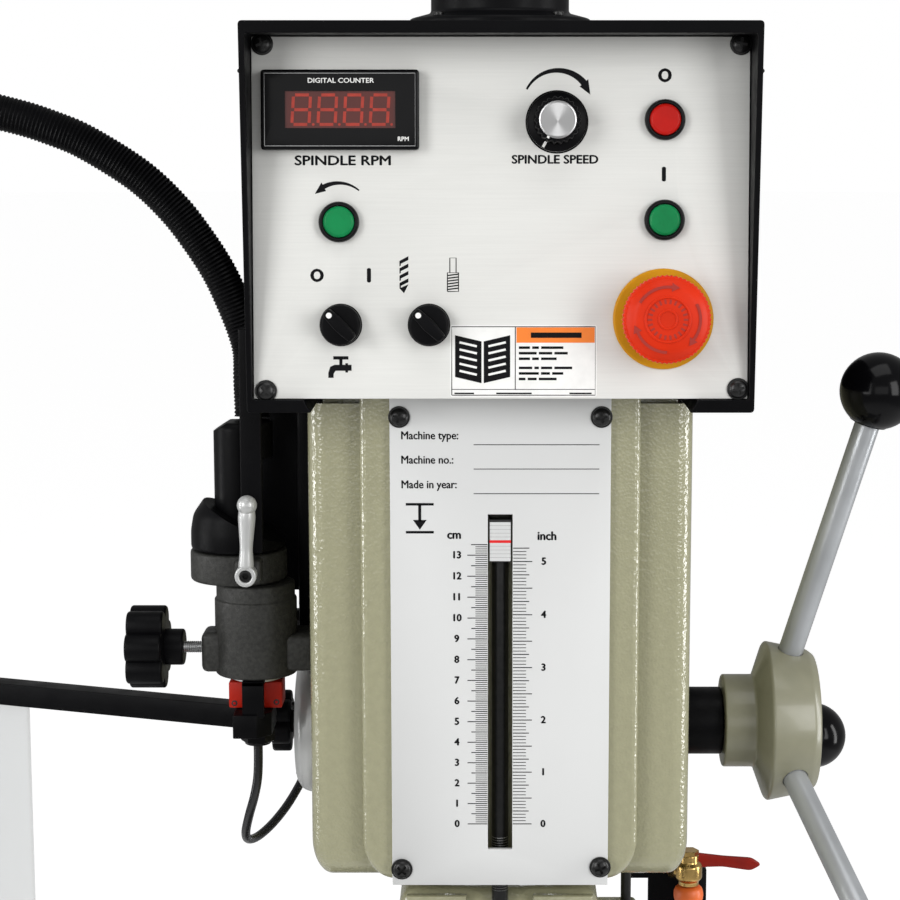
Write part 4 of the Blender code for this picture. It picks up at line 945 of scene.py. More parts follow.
def selector(node, spot):
    ring = turned(rectangle(7.4, 0, 9.6, 0.35), 0.1, on_panel(*spot), 48, ring=True)
    piece(node + "_bezel", [ring], "root", "black_gloss")
    stem = turned([(0, 6.2), (8.2, 6.0), (9.1, 5.0), (9.1, 0.5), (6.6, 0.5), (6.6, -11.5),
                   (0, -11.5)], 0.5, on_panel(*spot), 48)
    aslant = on_panel(*spot, turn=math.radians(45))
    bar = fillet([(-2.1, -8.6), (2.1, -8.6), (2.9, 0), (2.1, 8.6), (-2.1, 8.6), (-2.9, 0)], 1.4,
                 4, True)
    grip = prism(bar, 5, 14, aslant, 0.9, 3)
    dot = painted(shape(arc(1.3, steps=16, centre=(0, 6.2)), aslant, 14.06), "white_print")
    piece(node + "_knob", [stem, grip, dot], node, "black_moulding", [node])


def fluted(radius, depth, count, points):
    """A round outline with small waves."""
    angles = [TURN * i / (count * points) for i in range(count * points)]
    return [polar(radius + depth * math.cos(count * angle), angle) for angle in angles]


def spoke(angle, start, end, width, place, height):
    """A printed mark that points away from a place's axis."""
    return band([polar(start, angle), polar(end, angle)], width, place, height)


def speed_knob():
    place = on_panel(*SPEED_KNOB)
    ring = turned([(13.4, 0), (14.1, 0), (13.9, 0.4), (13.4, 0.4)], 0.1, place, ring=True)
    piece("speed_scale", [ring], "root", "black_moulding")
    skirt = turned([(0, 3.4), (10.4, 3.4), (13.3, 2.2), (13.3, 0.5), (3.2, 0.5), (3.2, -11.5),
                    (0, -11.5)], 0.5, place)
    grip = prism(fluted(9.9, 0.45, 22, 8), 3, 14.2, place, 0.5)
    cap = turned([(0, 13.9), (8.2, 13.9), (8.4, 14.7), (7.4, 15.0), (0, 14.9)], 0.3, place)
    pointer = math.radians(241)
    marks = [painted(spoke(pointer, 10.2, 13.0, 1.2, place, 3.46), "white_print"),
             painted(spoke(pointer, 7.2, 9.2, 1.1, place, 14.3), "white_print")]
    piece("speed_knob_body", [skirt, grip, painted(cap, "spun_cap")] + marks, "speed_knob",
          "black_moulding", ["speed_knob"])


def emergency_stop():
    place = on_panel(*ESTOP)
    disc = turned([(9.9, 0.05), (22.6, 0.05), (22.6, 1.5), (21.8, 2.0), (9.9, 2.0)], 0.3, place,
                  72, ring=True)
    piece("stop_legend", [disc], "root", "yellow_disc")
    collar = turned([(9.9, 1.9), (14.2, 1.9), (14.2, 6.8), (13.0, 7.6), (9.9, 7.6)], 0.6, place,
                    56, ring=True)
    piece("stop_collar", [collar], "root", "black_moulding")
    skirt = prism(fluted(19.3, 0.3, 60, 4), 15.5, 23.4, place, 0.8)
    crown = turned([(0, 27.4), (8, 27.6), (14.6, 26.6), (18.6, 23.2), (18.4, 20), (18.0, 15.8),
                    (15.4, 13.0), (9.4, 12.2), (9.4, -11.5), (0, -11.5)], 1.6, place, 72, 4)
    solids = [skirt, crown]
    for inner, outer in ((3.4, 4.6), (9.2, 10.4)):
        solids.append(turned([(inner, 27.2), (inner + 0.2, 28.0), (outer - 0.2, 28.0),
                              (outer, 27.2)], 0.3, place, 56, ring=True))
    notches, arrows = 22, 3
    marks = [spoke(TURN * k / notches, 6.9, 8.9, 0.9, place, 27.62) for k in range(notches)]
    for k in range(arrows):
        start = TURN * k / arrows + 0.5
        points = arc(14.3, start, start - 1.15, 12)
        tip = Vector(points[-1])
        way = (tip - Vector(points[-2])).normalized()
        side = Vector((-way.y, way.x))
        arrow = [tip + side * 2.0, tip - side * 2.0, tip + way * 3.4]
        marks += [band(points, 1.3, place, 27.05), shape(arrow, place, 27.05)]
    solids += [painted(mark, "mushroom_mark") for mark in marks]
    piece("stop_mushroom", solids, "emergency_stop", "mushroom",
          ["emergency_stop"])


# --------------------------------------------------------- head casting, hood

HEAD_HALF_W, HEAD_LOW, HEAD_BACK = 91.0, -31.0, 165.0
SHELF_BACK, SHELF_TOP = 600.0, 206.0
QUILL_R = 37.5
HOOD_HALF_W, HOOD_LOW, HOOD_HIGH = 114.2, 200.4, 373.5


def casting_front(half, low, high, depth, corner, radius):
    """A box with elliptical lower corners and a rounded front edge."""
    steps, turns = 8, 12
    loops = []
    for i in range(steps + 1):
        turn = math.pi / 2 * i / steps
        loops.append((radius * (1 - math.sin(turn)), depth[0] + radius * (1 - math.cos(turn))))
    loops.append((0, depth[1]))
    bm = bmesh.new()
    rings = []
    for inset, y in loops:
        wide, tall = corner[0] - inset, corner[1] - inset
        left = [(-(half - inset), high)]
        for i in range(turns + 1):
            turn = math.pi / 2 * i / turns
            left.append((inset - half + wide * (1 - math.cos(turn)),
                         low + inset + tall * (1 - math.sin(turn))))
        outline = left + [(-x, z) for x, z in reversed(left)]
        rings.append([bm.verts.new(HEAD @ Vector((x, y, z))) for x, z in outline])
    for near, far in zip(rings, rings[1:]):
        for i, vert in enumerate(near):
            after = (i + 1) % len(near)
            bm.faces.new((vert, near[after], far[after], far[i]))
    bm.faces.new(rings[0])
    bm.faces.new(rings[-1])
    bmesh.ops.recalc_face_normals(bm, faces=bm.faces)
    return bm


def head_casting():
    body = casting_front(HEAD_HALF_W, HEAD_LOW, 199.8, (12, HEAD_BACK), (10, 17.5), 9)
    front = casting_front(65.5, -29, SHELF_TOP, (3.3, 80), (15.5, 19), 3.5)
    body = fused(body, front, box((-84, 20, 192), (84, SHELF_BACK, SHELF_TOP), edge=1),
                 box((-58, 150, -10), (58, 320, 198), HEAD, 5, 3),
                 rod(84, (0, COLUMN_Y, -60), (0, COLUMN_Y, 199), 3, 72))
    body = cut(body, bore(QUILL_R + 0.6, SPINDLE, -50, 186, 48), bore(26, SPINDLE, 150, 215, 40),
               bore(COLUMN_R + 0.4, COLUMN_Y, -80, 175, 72), box((-8, -5, -50), (8, 17, 160)),
               rod(10.5, (-100, FEED_Y, FEED_Z), (100, FEED_Y, FEED_Z), 0.1, 32),
               rod(18.4, (-16, FEED_Y, FEED_Z), (100, FEED_Y, FEED_Z), 0.1, 40),
               bore(34, MOTOR_Y, 180, 215, 40), box((-44, 178, -40), (44, 296, 178), edge=5),
               box((-79, 26, -50), (-46, 150, 184), edge=5),
               box((46, 26, -50), (79, 150, 184), edge=5))
    piece("head_body", [body], "root", "enamel", ["head_casting"],
          rounding=1.2, segments=3)
    screws = [hex_nut(16, 0, 8, in_head(side * 83.6, COLUMN_Y, z, (side, 0, 0)))
              for side in (-1, 1) for z in (-25, 60, 140)]
    piece("sleeve_bolts", screws, "root", "screw_black")


def scale_plate():
    dress("scale_plate", "plate_sheet", 0.3)
    screws = []
    for i, (x, z) in enumerate(((46.9, 195.1), (-46.9, 195.1), (-46.8, -22.3), (47.7, -21.3))):
        screws += cross_screw(4.4, 3.2, on_plate(x, z), 0.2 + 1.1 * i)
    piece("plate_screws", screws, "root", "screw_black")
    plate_print()
    depth_indicator()


SCALE_EDGE, NUMBER_SIZE, UNIT_SIZE, LABEL_SIZE = 6.0, 3.5, 4.2, 3.9
TICK_WIDE, FINE_TICK_WIDE, FONT_WEIGHT = 0.45, 0.34, 0.23


def scale_ticks(side, step, count, lengths):
    """Printed ticks up one side of the slot; lengths: (every how many, length)."""
    solids = []
    for tick in range(count):
        long = next(reach for every, reach in lengths if tick % every == 0)
        wide = TICK_WIDE if long != lengths[-1][1] else FINE_TICK_WIDE
        solids.append(band([(side * SCALE_EDGE, tick * step),
                            (side * (SCALE_EDGE + long), tick * step)], wide, on_plate(0, 0)))
    return solids


def plate_print():
    inch, label_gap, cap_narrow = 25.4, 4.2, 0.95
    solids = scale_ticks(-1, 1.0, 136, ((10, 9.4), (5, 7.6), (1, 5.6)))
    solids += scale_ticks(1, inch / 16, 85, ((16, 9.0), (8, 9.0), (4, 7.6), (1, 6.2)))
    prints = [(str(number), NUMBER_SIZE, -20.4, number * 10) for number in range(14)]
    prints += [(str(number), NUMBER_SIZE, 20.4, number * inch) for number in range(6)]
    prints += [("cm", UNIT_SIZE, -21.5, 139.6), ("inch", UNIT_SIZE, 21.8, 139.0)]
    for words, size, x, z in prints:
        solids.append(lettering(words, size, on_plate(x, z), FONT_WEIGHT, stretch=cap_narrow))
    for words, z in (("Machine type:", 186.3), ("Machine no.:", 174.9), ("Made in year:", 163.3)):
        solids.append(lettering(words, LABEL_SIZE, on_plate(-46.2, z), 0.13, "LEFT", 0.9))
        solids.append(band([(-12.4, z - label_gap), (46.0, z - label_gap)], 0.38,
                           on_plate(0, 0)))
    solids += depth_sign(-37.5, 147.5)
    piece("plate_print", solids, "root", "ink")


def depth_sign(x, z):
    """A plain sign for drilling depth: an arrow down to a line."""
    place = on_plate(0, 0)
    head = [(x - 3.2, z - 0.8), (x + 3.2, z - 0.8), (x, z - 5.4)]
    return [band([(x, z + 6.5), (x, z - 1.5)], 1.4, place), shape(head, place)] + [
        band([(x - 6.5, level), (x + 6.5, level)], 1.2, place) for level in (z - 6.6, z + 6.6)]


def depth_indicator():
    """The rod behind the slot and the block whose red line points to the scale."""
    body = rod(4, (0, 10, -76), (0, 10, 142), 0.6, 28)
    nut = hex_nut(11, 0, 6, in_head(0, 10, -76.2))
    screw = painted(thread(4.05, 1.25, (0, 10, -36), (0, 10, -8)), "bright_alloy")
    block = box((-5.2, 1.4, 126.3), (5.2, 15, 146.7), edge=0.5)
    face = on_plate(0, 0, -1.4)
    card = painted(shape(rectangle(-4.9, 126.9, 4.9, 145.4), face), "plate_sheet")
    line = painted(band([(-5.0, 136.2), (5.0, 136.2)], 1.3, face, 0.09), "red_print")
    ticks = [painted(band([(-4.9, z), (4.9, z)], 0.16, face, 0.09), "grey_print")
             for z in (128.6, 130.4, 132.2, 134.0, 138.4, 140.2, 142.0, 143.8)]
    piece("depth_stop_rod", [body, screw, block, card, line] + ticks + [nut], "quill",
          "screw_black", ["depth_rod"])


def hood_outline(inset, front):
    half = HOOD_HALF_W - inset
    back = arc(half, 0, math.pi, 48, (0, MOTOR_Y))
    return [(half, front)] + back + [(-half, front)]


def drive_housing():
    lean = math.atan2(13.0, HOOD_HIGH - HOOD_LOW)
    corner = in_head(0, -27, HOOD_LOW) @ Matrix.Rotation(lean, 4, "X")
    inner = prism(hood_outline(2.6, -100), 206.3, 368.1, HEAD, 1.0)
    slot = [(84.3, HOOD_LOW - 2), (88.9, 206.3), (88.9, 209.3), (-88.9, 209.3), (-88.9, 206.3),
            (-84.3, HOOD_LOW - 2)]
    through = prism(slot, -SHELF_BACK - 1, 90, in_head(0, 0, 0, (0, -1, 0)))
    body = cut(prism(hood_outline(0, -70), HOOD_LOW, HOOD_HIGH, HEAD, 1.6, 3), inner,
               box((-150, -90, -60), (150, 0, 260), corner), through,
               bore(29, SPINDLE, 360, 380, 48))
    piece("hood", [body], "root", "black_coat", ["drive_housing"],
          rounding=0.45)
    trim = []
    for side in (-1, 1):
        for y in (90, 300, 500):
            trim += cross_screw(4.5, 3.2, in_head(side * HOOD_HALF_W, y, 216, (side, 0, 0)))
        for i in range(7):
            vent = in_head(side * (HOOD_HALF_W - 0.2), 380 + i * 12, 292, (side, 0, 0))
            trim.append(box((-2.2, -26, 0), (2.2, 26, 0.7), vent, 0.3))
    piece("hood_trim", trim + seam_and_catch(), "root", "screw_black")


def seam_and_catch():
    """The lid's seam bead round the hood, and its catch."""
    line = [Vector((x, y, 352)) for x, y in hood_outline(-0.1, -34)]
    place = in_head(-HOOD_HALF_W, 200, 346, (-1, 0, 0))
    return [sweep(line, [1.0] * len(line), 10, HEAD),
            box((-9, -20, 0), (9, 20, 3), place, 0.8),
            box((-6, -12, 3), (6, 14, 5.5), place, 1)]


def spindle_cap():
    solids = [turned([(0, 448), (25, 448), (31, 446), (33, 441), (33, 381.6), (43.5, 378.8),
                      (43.5, 373.8), (29.5, 373.8), (29.5, 440), (0, 440)], 1.6,
                     in_head(0, SPINDLE, 0), 72)]
    for i in range(4):
        x, y = polar(39.4, TURN * i / 4 + 0.75)
        screw = socket_screw(2.6, 2.2, in_head(x, SPINDLE + y, 379.0))
        solids.append(painted(screw, "screw_black"))
    piece("spindle_cover", solids, "root", "black_moulding", ["spindle_cap"])


def motor():
    axis = in_head(0, MOTOR_Y, 0)
    profile = [(0, 140), (9.8, 140), (9.8, 191.7), (79, 191.7), (80, 190), (80, 178),
               (72, 174), (69, 170), (69, -36), (76, -40), (76, -90), (68, -98), (0, -98)]
    solids = [turned(profile, 1.5, axis, 72)]
    solids += [box((67, -1.3, -32), (74.6, 1.3, 166), place, 0.7, 1)
               for place in around(axis, 36)]
    # Thin black strips on the motor's lower end are painted shade of openings that are not cut.
    solids += [painted(box((16, -3.4, -0.3), (60, 3.4, 0.1), place), "screw_black")
               for place in around(in_head(0, MOTOR_Y, -97.9), 9)]
    cover = box((-44, MOTOR_Y + 55, 20), (44, MOTOR_Y + 112, 108), HEAD, 5, 3)
    lid = box((-46, MOTOR_Y + 50, 104), (46, MOTOR_Y + 112.6, 110), HEAD, 2)
    solids += [cover, lid]
    for x in (-38, 38):
        screw = socket_screw(3, 2.5, in_head(x, MOTOR_Y + 106, 110))
        solids.append(painted(screw, "bright_alloy"))
    solids.append(hex_nut(20, 0, 8, in_head(-20, MOTOR_Y + 90, 20, (0, 0, -1))))
    piece("motor_body", solids, "root", "motor_paint", ["motor"])


def pulley(rim, hub, top, foot):
    """A belt pulley's profile: its hub's top, the grooved rim and the hub's foot."""
    low, high, flange = 241, 274, rim + 4
    grooves = []
    for z in range(low + 2, high - 2, 4):
        grooves += [(rim, z), (rim - 1.6, z + 2)]
    return (top + [(hub, high + 3), (flange, high + 3), (flange, high)] + grooves[::-1]
            + [(flange, low), (flange, low - 3), (hub, low - 3)] + foot)


def drive():
    driven = pulley(54.0, 22, [(12.3, 312), (20, 312), (22, 310)], [(22, 190), (12.3, 190)])
    piece("driven_pulley", [lathe(driven, in_head(0, SPINDLE, 0), ring=True)],
          "spindle_pulley", "dull_alloy", ["spindle_pulley"])
    driving = pulley(34.0, 18, [(0, 288), (16, 288), (18, 286)],
                     [(18, 214), (9.5, 214), (9.5, 150), (0, 150)])
    piece("driving_pulley", [lathe(driving, in_head(0, MOTOR_Y, 0))], "motor_rotor",
          "dull_alloy", ["motor_pulley"])
    dress("drive_belt", "belt_rubber", 0.8)


# ------------------------------------------------------------ quill, spindle

def quill_group():
    dress("quill", "ground_steel", 0.4)
    axis = in_head(0, SPINDLE, 0)
    body = cut(box((-49, 12, -72), (48, 112, -38), HEAD, 9, 4),
               bore(QUILL_R + 0.3, SPINDLE, -90, -20, 48))
    boss = cut(box((-14, 3, -68), (14, 30, -44), HEAD, 3, 3),
               bore(QUILL_R + 0.3, SPINDLE, -90, -20, 48), bore(4.3, 10, -80, -30, 24))
    solids = [body, boss]
    for side in (-1, 1):
        rib = [(side * x, z) for x, z in ((16, -39), (45, -39), (45, -41), (20, -66), (16, -66))]
        solids.append(prism(rib[::side], -13.5, -8.6, in_head(0, 0, 0, (0, -1, 0)), 1.2))
    solids.append(box((40, 48, -76), (70, 74, -62), HEAD, 2.5, 3))
    solids.append(painted(rod(2.6, (64, 61, -70), (64, 61, 60), 0.4, 20), "screw_black"))
    solids.append(painted(socket_screw(5, 6, in_head(-49, 30, -55, (-1, 0, 0))), "screw_black"))
    piece("quill_clamp", solids, "quill", "enamel", ["quill_bracket"],
          rounding=0.8)
    shaft = turned([(0, 395), (10, 395), (12, 393), (12, 184), (20, 182), (20, -75.3),
                    (26, -75.3), (26, -91), (20, -96), (16, -111.8), (0, -111.8)], 0.8, axis,
                   56, 2)
    splines = [box((10.5, -1.6, 200), (12.6, 1.6, 392), place, 0.3, 1)
               for place in around(axis, 6)]
    piece("spindle_shaft", [shaft] + splines, "spindle", "ground_steel", ["spindle"])
    chuck(axis)


def chuck(axis):
    profile = [(7.2, -112.5), (20, -112.5), (23, -116), (26, -122), (26, -134), (24.6, -136),
               (24.6, -146), (26, -148), (26, -160), (27.4, -162), (27.4, -182), (25, -186),
               (13, -206), (11, -207.8), (7.2, -207.8)]
    body = turned(profile, 0.8, axis, 72, ring=True)
    ridges = [box((26.6, -0.55, -181), (27.45, 0.55, -163), place, 0.2, 1)
              for place in around(axis, 48)]
    # The key holes are not cut: thin black discs on the chuck's face are painted shade where the
    # holes would be dark.
    hole_shade_discs = [painted(rod(3.6, (0, 0, 26.05), (0, 0, 26.3), 0.05, 24,
                         place @ Matrix.Rotation(math.pi / 2, 4, "Y")), "screw_black")
             for place in around(axis @ Matrix.Translation((0, 0, -129)), 3)]
    jaws = [prism(rectangle(7.4, -3.4, 11.5, 3.4), -207.9, -190, place, 0.8)
            for place in around(axis, 3, 0.4)]
    piece("chuck_body", [body] + ridges + hole_shade_discs + jaws, "spindle", "ground_steel",
          ["drill_chuck"])


# ---------------------------------------------------------------- quill feed

ARM_LEAN, ARM_LENGTH, ARM_R = 0.274, 184.0, 6.35
ARM_TURNS = (0.13, 2.179, 4.395)   # about the shaft, from straight up
HUB_X, BALL_R = 139.8, 19.4
FEED_LINE = in_head(0, FEED_Y, FEED_Z, X_AXIS)


def arm_direction(angle):
    return Vector((math.sin(ARM_LEAN), -math.sin(angle) * math.cos(ARM_LEAN),
                   math.cos(angle) * math.cos(ARM_LEAN)))


def feed_handle():
    dress("feed_shaft", "ground_steel", 0.4)
    hub = turned([(0, 163.7), (34.2, 163.7), (37, 160), (41.3, 139), (40.0, 137.8), (24, 132),
                  (24, 116), (10.4, 116), (10.4, 139.5), (0, 139.5)], 1.2, FEED_LINE, 96, 4)
    centre = Vector((HUB_X, FEED_Y, FEED_Z))
    ways = [arm_direction(angle) for angle in ARM_TURNS]
    hub = cut(hub, *[rod(ARM_R + 0.35, centre + way * 29.5, centre + way * 60, 0.1, 32)
                     for way in ways])
    piece("feed_hub_body", [hub], "feed_handle", "smooth_enamel", ["feed_hub"],
          rounding=0.9, segments=3)
    knob = [(0, BALL_R)] + [(BALL_R * math.sin(a), BALL_R * math.cos(a))
                            for a in (math.pi * i / 25.5 for i in range(1, 23))]
    knob += [(9.4, -17.2), (8.6, -17.4), (6.9, -17.0), (6.9, -8), (0, -8)]
    for number, way in enumerate(ways, 1):
        end = centre + way * ARM_LENGTH
        piece(f"feed_rod_{number}", [rod(ARM_R, centre + way * 30, end - way * 8.4, 0.8)],
              "feed_handle", "arm_steel", [f"feed_arm_{number}"])
        piece(f"feed_knob_{number}", [lathe(knob, HEAD @ along(end, way))], "feed_handle",
              "black_gloss", [f"feed_ball_{number}"])
    plug = turned([(0, 164.6), (9, 164.3), (10, 162.9), (0, 162.9)], 0.5, FEED_LINE, 40)
    piece("feed_hub_plug", [plug], "feed_handle", "screw_black")


def feed_ends():
    sleeve = turned(rectangle(10.5, 115.5, 17.4, 91.4), 0.7, FEED_LINE, ring=True)
    piece("feed_bush", [sleeve], "root", "black_moulding", ["feed_sleeve"])
    cap = turned([(33, -91.4), (37, -91.4), (37, -97), (35.5, -101.5), (31, -104.4),
                  (22, -104.9), (10.5, -104.9), (10.5, -101.6), (33, -101.6)], 1.6, FEED_LINE,
                 96, 4, ring=True)
    screws = []
    for angle in (0.5, 2.6, 4.7):
        spot = Matrix.Translation((*polar(27, angle), -104.6)) @ Matrix.Rotation(math.pi, 4, "X")
        screws.append(painted(socket_screw(2.2, 1.6, FEED_LINE @ spot), "screw_black"))
    piece("spring_cap", [cap] + screws, "root", "satin_alloy",
          ["spring_housing"])
    place = FEED_LINE @ Matrix.Translation((0, 0, -113)) @ Matrix.Rotation(0.35, 4, "Z")
    knob = star_knob(15.9, 2.9, 6, 10, place, 1.8)
    stem = rod(6.4, (-110, FEED_Y, FEED_Z), (-105.4, FEED_Y, FEED_Z), 0.5)
    piece("spring_adjuster", [knob, stem], "spring_knob", "black_moulding",
          ["spring_knob"])
    dress("return_spring", "ground_steel", 0.2)


def star_knob(radius, depth, lobes, thick, place, edge):
    """A lobed grip: rounded lobes with narrow valleys, crowned on its face."""
    outline = []
    steps = lobes * 14
    for i in range(steps):
        angle = TURN * i / steps
        wave = abs(math.cos(lobes * angle / 2)) ** 0.8
        outline.append(polar(radius - depth * (1 - wave), angle))
    return prism(outline, -thick / 2, thick / 2, place, edge, 4)


# ------------------------------------------------------------ left-hand group

GUARD_X, GUARD_Y = -121.0, 60.0
GUARD_YAW = math.radians(160.7)
GUARD_CORNER = 220.0
LAMP_X, LAMP_Y = -129.5, 64.0


def guard_mount():
    at = in_head(GUARD_X, GUARD_Y, 0)
    post = turned([(0, 59.5), (20.3, 59.5), (20.3, 97.2), (19.4, 97.9), (19.4, 105.6),
                   (0, 105.6)], 1.3, at, 72)
    body = fused(post, box((-112, 48, 62), (-91.3, 76, 80), HEAD, 3, 3),
                 box((-147.4, 50, 61), (-130, 70, 81), HEAD, 3, 3))
    body = cut(body, rod(3.4, (-150, GUARD_Y, 72), (-124, GUARD_Y, 72), 0.1, 24))
    piece("guard_bracket", [body], "root", "dark_casting", ["guard_mount"],
          rounding=0.9, segments=3)
    place = in_head(-175, GUARD_Y, 72, X_AXIS) @ Matrix.Rotation(0.26, 4, "Z")
    grip = star_knob(20.9, 4.4, 7, 18, place, 4.2)
    boss = turned(rectangle(0, 8, 9, 18.2), 1.2, place, 48)
    stud = painted(thread(3.0, 1.0, (-157.5, GUARD_Y, 72), (-125, GUARD_Y, 72)),
                   "bright_alloy")
    piece("guard_star_knob", [grip, boss, stud], "guard_knob", "black_moulding",
          ["guard_knob"])


def interlock():
    x, y = GUARD_X, GUARD_Y
    body = box((x - 13.2, y - 8.9, 42.9), (x + 13.2, y + 8.9, 56.2), edge=0.9)
    ring = painted(rod(3.9, (x, y, 50), (x, y, 59.1), 0.4, 32), "bright_alloy")
    # The holes are not cut: thin dark discs on the front face are painted shade of the holes, each
    # with a small red disc in its middle.
    hole_shade_discs = [painted(rod(radius, (x + dx, y - near, z), (x + dx, y - far, z), 0.05, steps), look)
             for radius, near, far, steps, look in ((1.5, 8.7, 9.0, 20, "switch_hole_shade"),
                                                    (0.75, 8.9, 9.1, 16, "lens_red"))
             for dx, z in ((-10.4, 45.4), (10.4, 46.0))]
    ribs = [box((x - 13.25, y - 7 + i * 3.4, 45), (x - 13.0, y - 5.6 + i * 3.4, 54))
            for i in range(5)]
    piece("interlock_body", [body, ring] + hole_shade_discs + ribs, "root", "switch_body",
          ["interlock_switch"])
    nut = hex_nut(14.8, -3.1, 3.1, in_head(x, y, 27.1))
    neck = rod(5.5, (x, y, 27), (x, y, 42.4), 0.3)
    lip = turned([(2.5, 22.6), (6.4, 22.6), (6.9, 24.1), (2.5, 24.1)], 0.4, in_head(x, y, 0),
                 40, ring=True)
    piece("cable_gland", [nut, neck, lip], "root", "black_gloss",
          ["switch_gland"])


def guard():
    x, y = GUARD_X, GUARD_Y
    end = fillet([(-10, -22), (1.5, -22), (8.5, -15), (8.5, 10), (-10, 10)], 0.8, 2, True)
    body = prism(end, -5.85, 5.85, in_head(x, y, 36.65), 0.4)
    turn = HEAD @ Matrix.Translation((x, y, 0)) @ Matrix.Rotation(GUARD_YAW, 4, "Z")
    body = fused(body, box((7.5, -5.85, 30.9), (GUARD_CORNER, 5.85, 42.4), turn, 0.6))
    body = cut(body, rod(6.1, (x, y, 25), (x, y, 46), 0.1))
    solids = [body,
              turned(rectangle(4.5, 56.7, 12.4, 59.1), 0.5, in_head(x, y, 0), 48, ring=True),
              box((x - 5.3, y - 21, 56.7), (x + 5.3, y - 11, 59.1), edge=0.4),
              box((x - 5.3, y - 21, 41), (x + 5.3, y - 17.2, 59.1), edge=0.4),
              painted(rod(13.2, (x, y, 56.9), (x, y, 59.0), 0.4, 48), "bright_alloy")]
    for reach in (165, 205):
        screw = socket_screw(4, 3.5, turn @ along((reach, 5.9, 36.6), Y_AXIS))
        solids.append(painted(screw, "screw_black"))
    piece("guard_bar", solids, "guard", "black_coat", ["guard_arm"],
          rounding=0.3)

    start, corner, radius, thick, side = 135.5, GUARD_CORNER, 40.0, 3.0, -8.0
    bend, far = (corner - radius, side + radius), side + radius + 185.0
    outline = [(start, side)] + arc(radius, -math.pi / 2, 0, 24, bend)
    outline += [(corner, far), (corner - thick, far)]
    outline += arc(radius - thick, -math.pi / 2, 0, 24, bend)[::-1] + [(start, side + thick)]
    low, high = -150, 30.5
    piece("guard_window", [prism(outline, low, high, turn, 0.4)], "guard", "clear_sheet",
          ["guard_shield"])
    rim = rectangle(corner - thick - 1.2, far - 9, corner + 0.9, far)
    piece("guard_edge_trim", [prism(rim, low, high, turn, 0.5)], "guard", "black_moulding")


def clamp_group():
    x, y = LAMP_X, LAMP_Y
    ring = fused(turned(rectangle(0, 106.3, 23.8, 121.3), 1.6, in_head(x, y, 0), 96),
                 box((x + 1, y - 30, 108.5), (x + 14, y - 18, 120.9), HEAD, 2.5, 3))
    split = box((x + 6.5, y - 34, 100), (x + 7.9, y - 16, 125))
    piece("clamp_collar", [cut(ring, split)], "root", "dark_casting",
          ["clamp_ring"], rounding=0.5)

    lever_x, lever_y, lever_z = x + 7.2, y - 30.3, 114.2
    pivot = in_head(lever_x, lever_y, lever_z, (0, -1, 0))
    eye = turned(rectangle(3.0, 0, 5.2, 7), 0.7, pivot, 48, ring=True)
    grip = turned([(0, 35), (3.4, 35), (4.3, 29), (3.0, 13), (3.9, 3.5), (0, 3.5)], 2.5,
                  in_head(lever_x, lever_y - 4, lever_z, (0.03, 0, 1)), 40, 5)
    knob = ball(4.8, in_head(lever_x + 1.1, lever_y - 4.8, lever_z + 34.5))
    bolt = painted(socket_screw(2.9, 6.4, pivot), "screw_black")
    piece("clamp_handle", [eye, grip, knob, bolt], "clamp_lever", "satin_alloy",
          ["clamp_lever"])
    lamp()


NECK_FOOT = (-122.5, 70.0)    # the neck stands a little behind the lamp base's axis
NECK_ROUTE = [(*NECK_FOOT, 186.4), (-122.6, 71.5, 193), (-123.5, 76.5, 204),
              (-124.2, 82, 216), (-127.1, 84, 227.3), (-132.4, 84, 241.4),
              (-139.5, 84, 256.9), (-149.3, 84, 272.6), (-161.4, 84, 288.4),
              (-178.3, 84, 304.4), (-202.9, 84, 320), (-219.6, 84, 327.3),
              (-237.7, 84, 333.1), (-262, 84, 338), (-290, 84, 338.5), (-317, 84, 332),
              (-342, 84, 319)]
NECK_R, NECK_PITCH = 8.9, 2.0


def lamp():
    at = in_head(LAMP_X, LAMP_Y, 0)
    core = turned([(0, 184.8), (9.5, 184.8), (11.5, 182), (11.5, 121.8), (0, 121.8)], 1.2, at)
    skirt = turned([(0, 121.8), (23.4, 121.8), (23.4, 131), (22, 139), (16.5, 147), (0, 147)],
                   2, at)
    slopes = [box((-60, -60, 0), (60, 60, 60), at @ Matrix.Translation(spot)
                  @ Matrix.Rotation(math.radians(lean), 4, "Y"))
              for spot, lean in (((0, 0, 137), 28), ((-6, 0, 183.5), -32))]
    skirt, core = cut(skirt, slopes[0]), cut(core, slopes[1])
    socket = rod(10, (*NECK_FOOT, 166), (*NECK_FOOT, 184.4), 0.8)
    piece("lamp_socket", [core, skirt, socket], "root", "black_moulding",
          ["lamp_base"], rounding=0.5)

    points = evenly(smooth_path(NECK_ROUTE, 2), NECK_PITCH / 4)
    radii = [NECK_R - (0.0, 0.35, 0.7, 0.35)[i % 4] for i in range(len(points))]
    piece("lamp_neck", [sweep(points, radii, 24, HEAD)], "root", "black_moulding",
          ["lamp_gooseneck"], crease=60)

    end, before = Vector(NECK_ROUTE[-1]), Vector(NECK_ROUTE[-2])
    place = HEAD @ along(end, end - before)
    outside = fillet([(0, 0.5), (11, 0.5), (14, 12), (22, 30), (30, 60), (34, 92), (34, 98.6),
                      (30.5, 98.6)], 3, 4)
    inside = fillet([(30.5, 92), (26, 62), (14, 34), (0, 30)], 3, 4)
    shade = lathe(outside + inside, place, 72)
    bulb = turned([(0, 30.5), (12, 31), (21, 62), (24.5, 78), (22, 88), (0, 90)], 4, place, 48,
                  5)
    rim = turned(rectangle(30.4, 96.4, 34.1, 99), 0.6, place, 72, ring=True)
    piece("lamp_shade", [shade, painted(bulb, "bulb_glass"), painted(rim, "dull_alloy")],
          "root", "black_coat", ["lamp_head"])


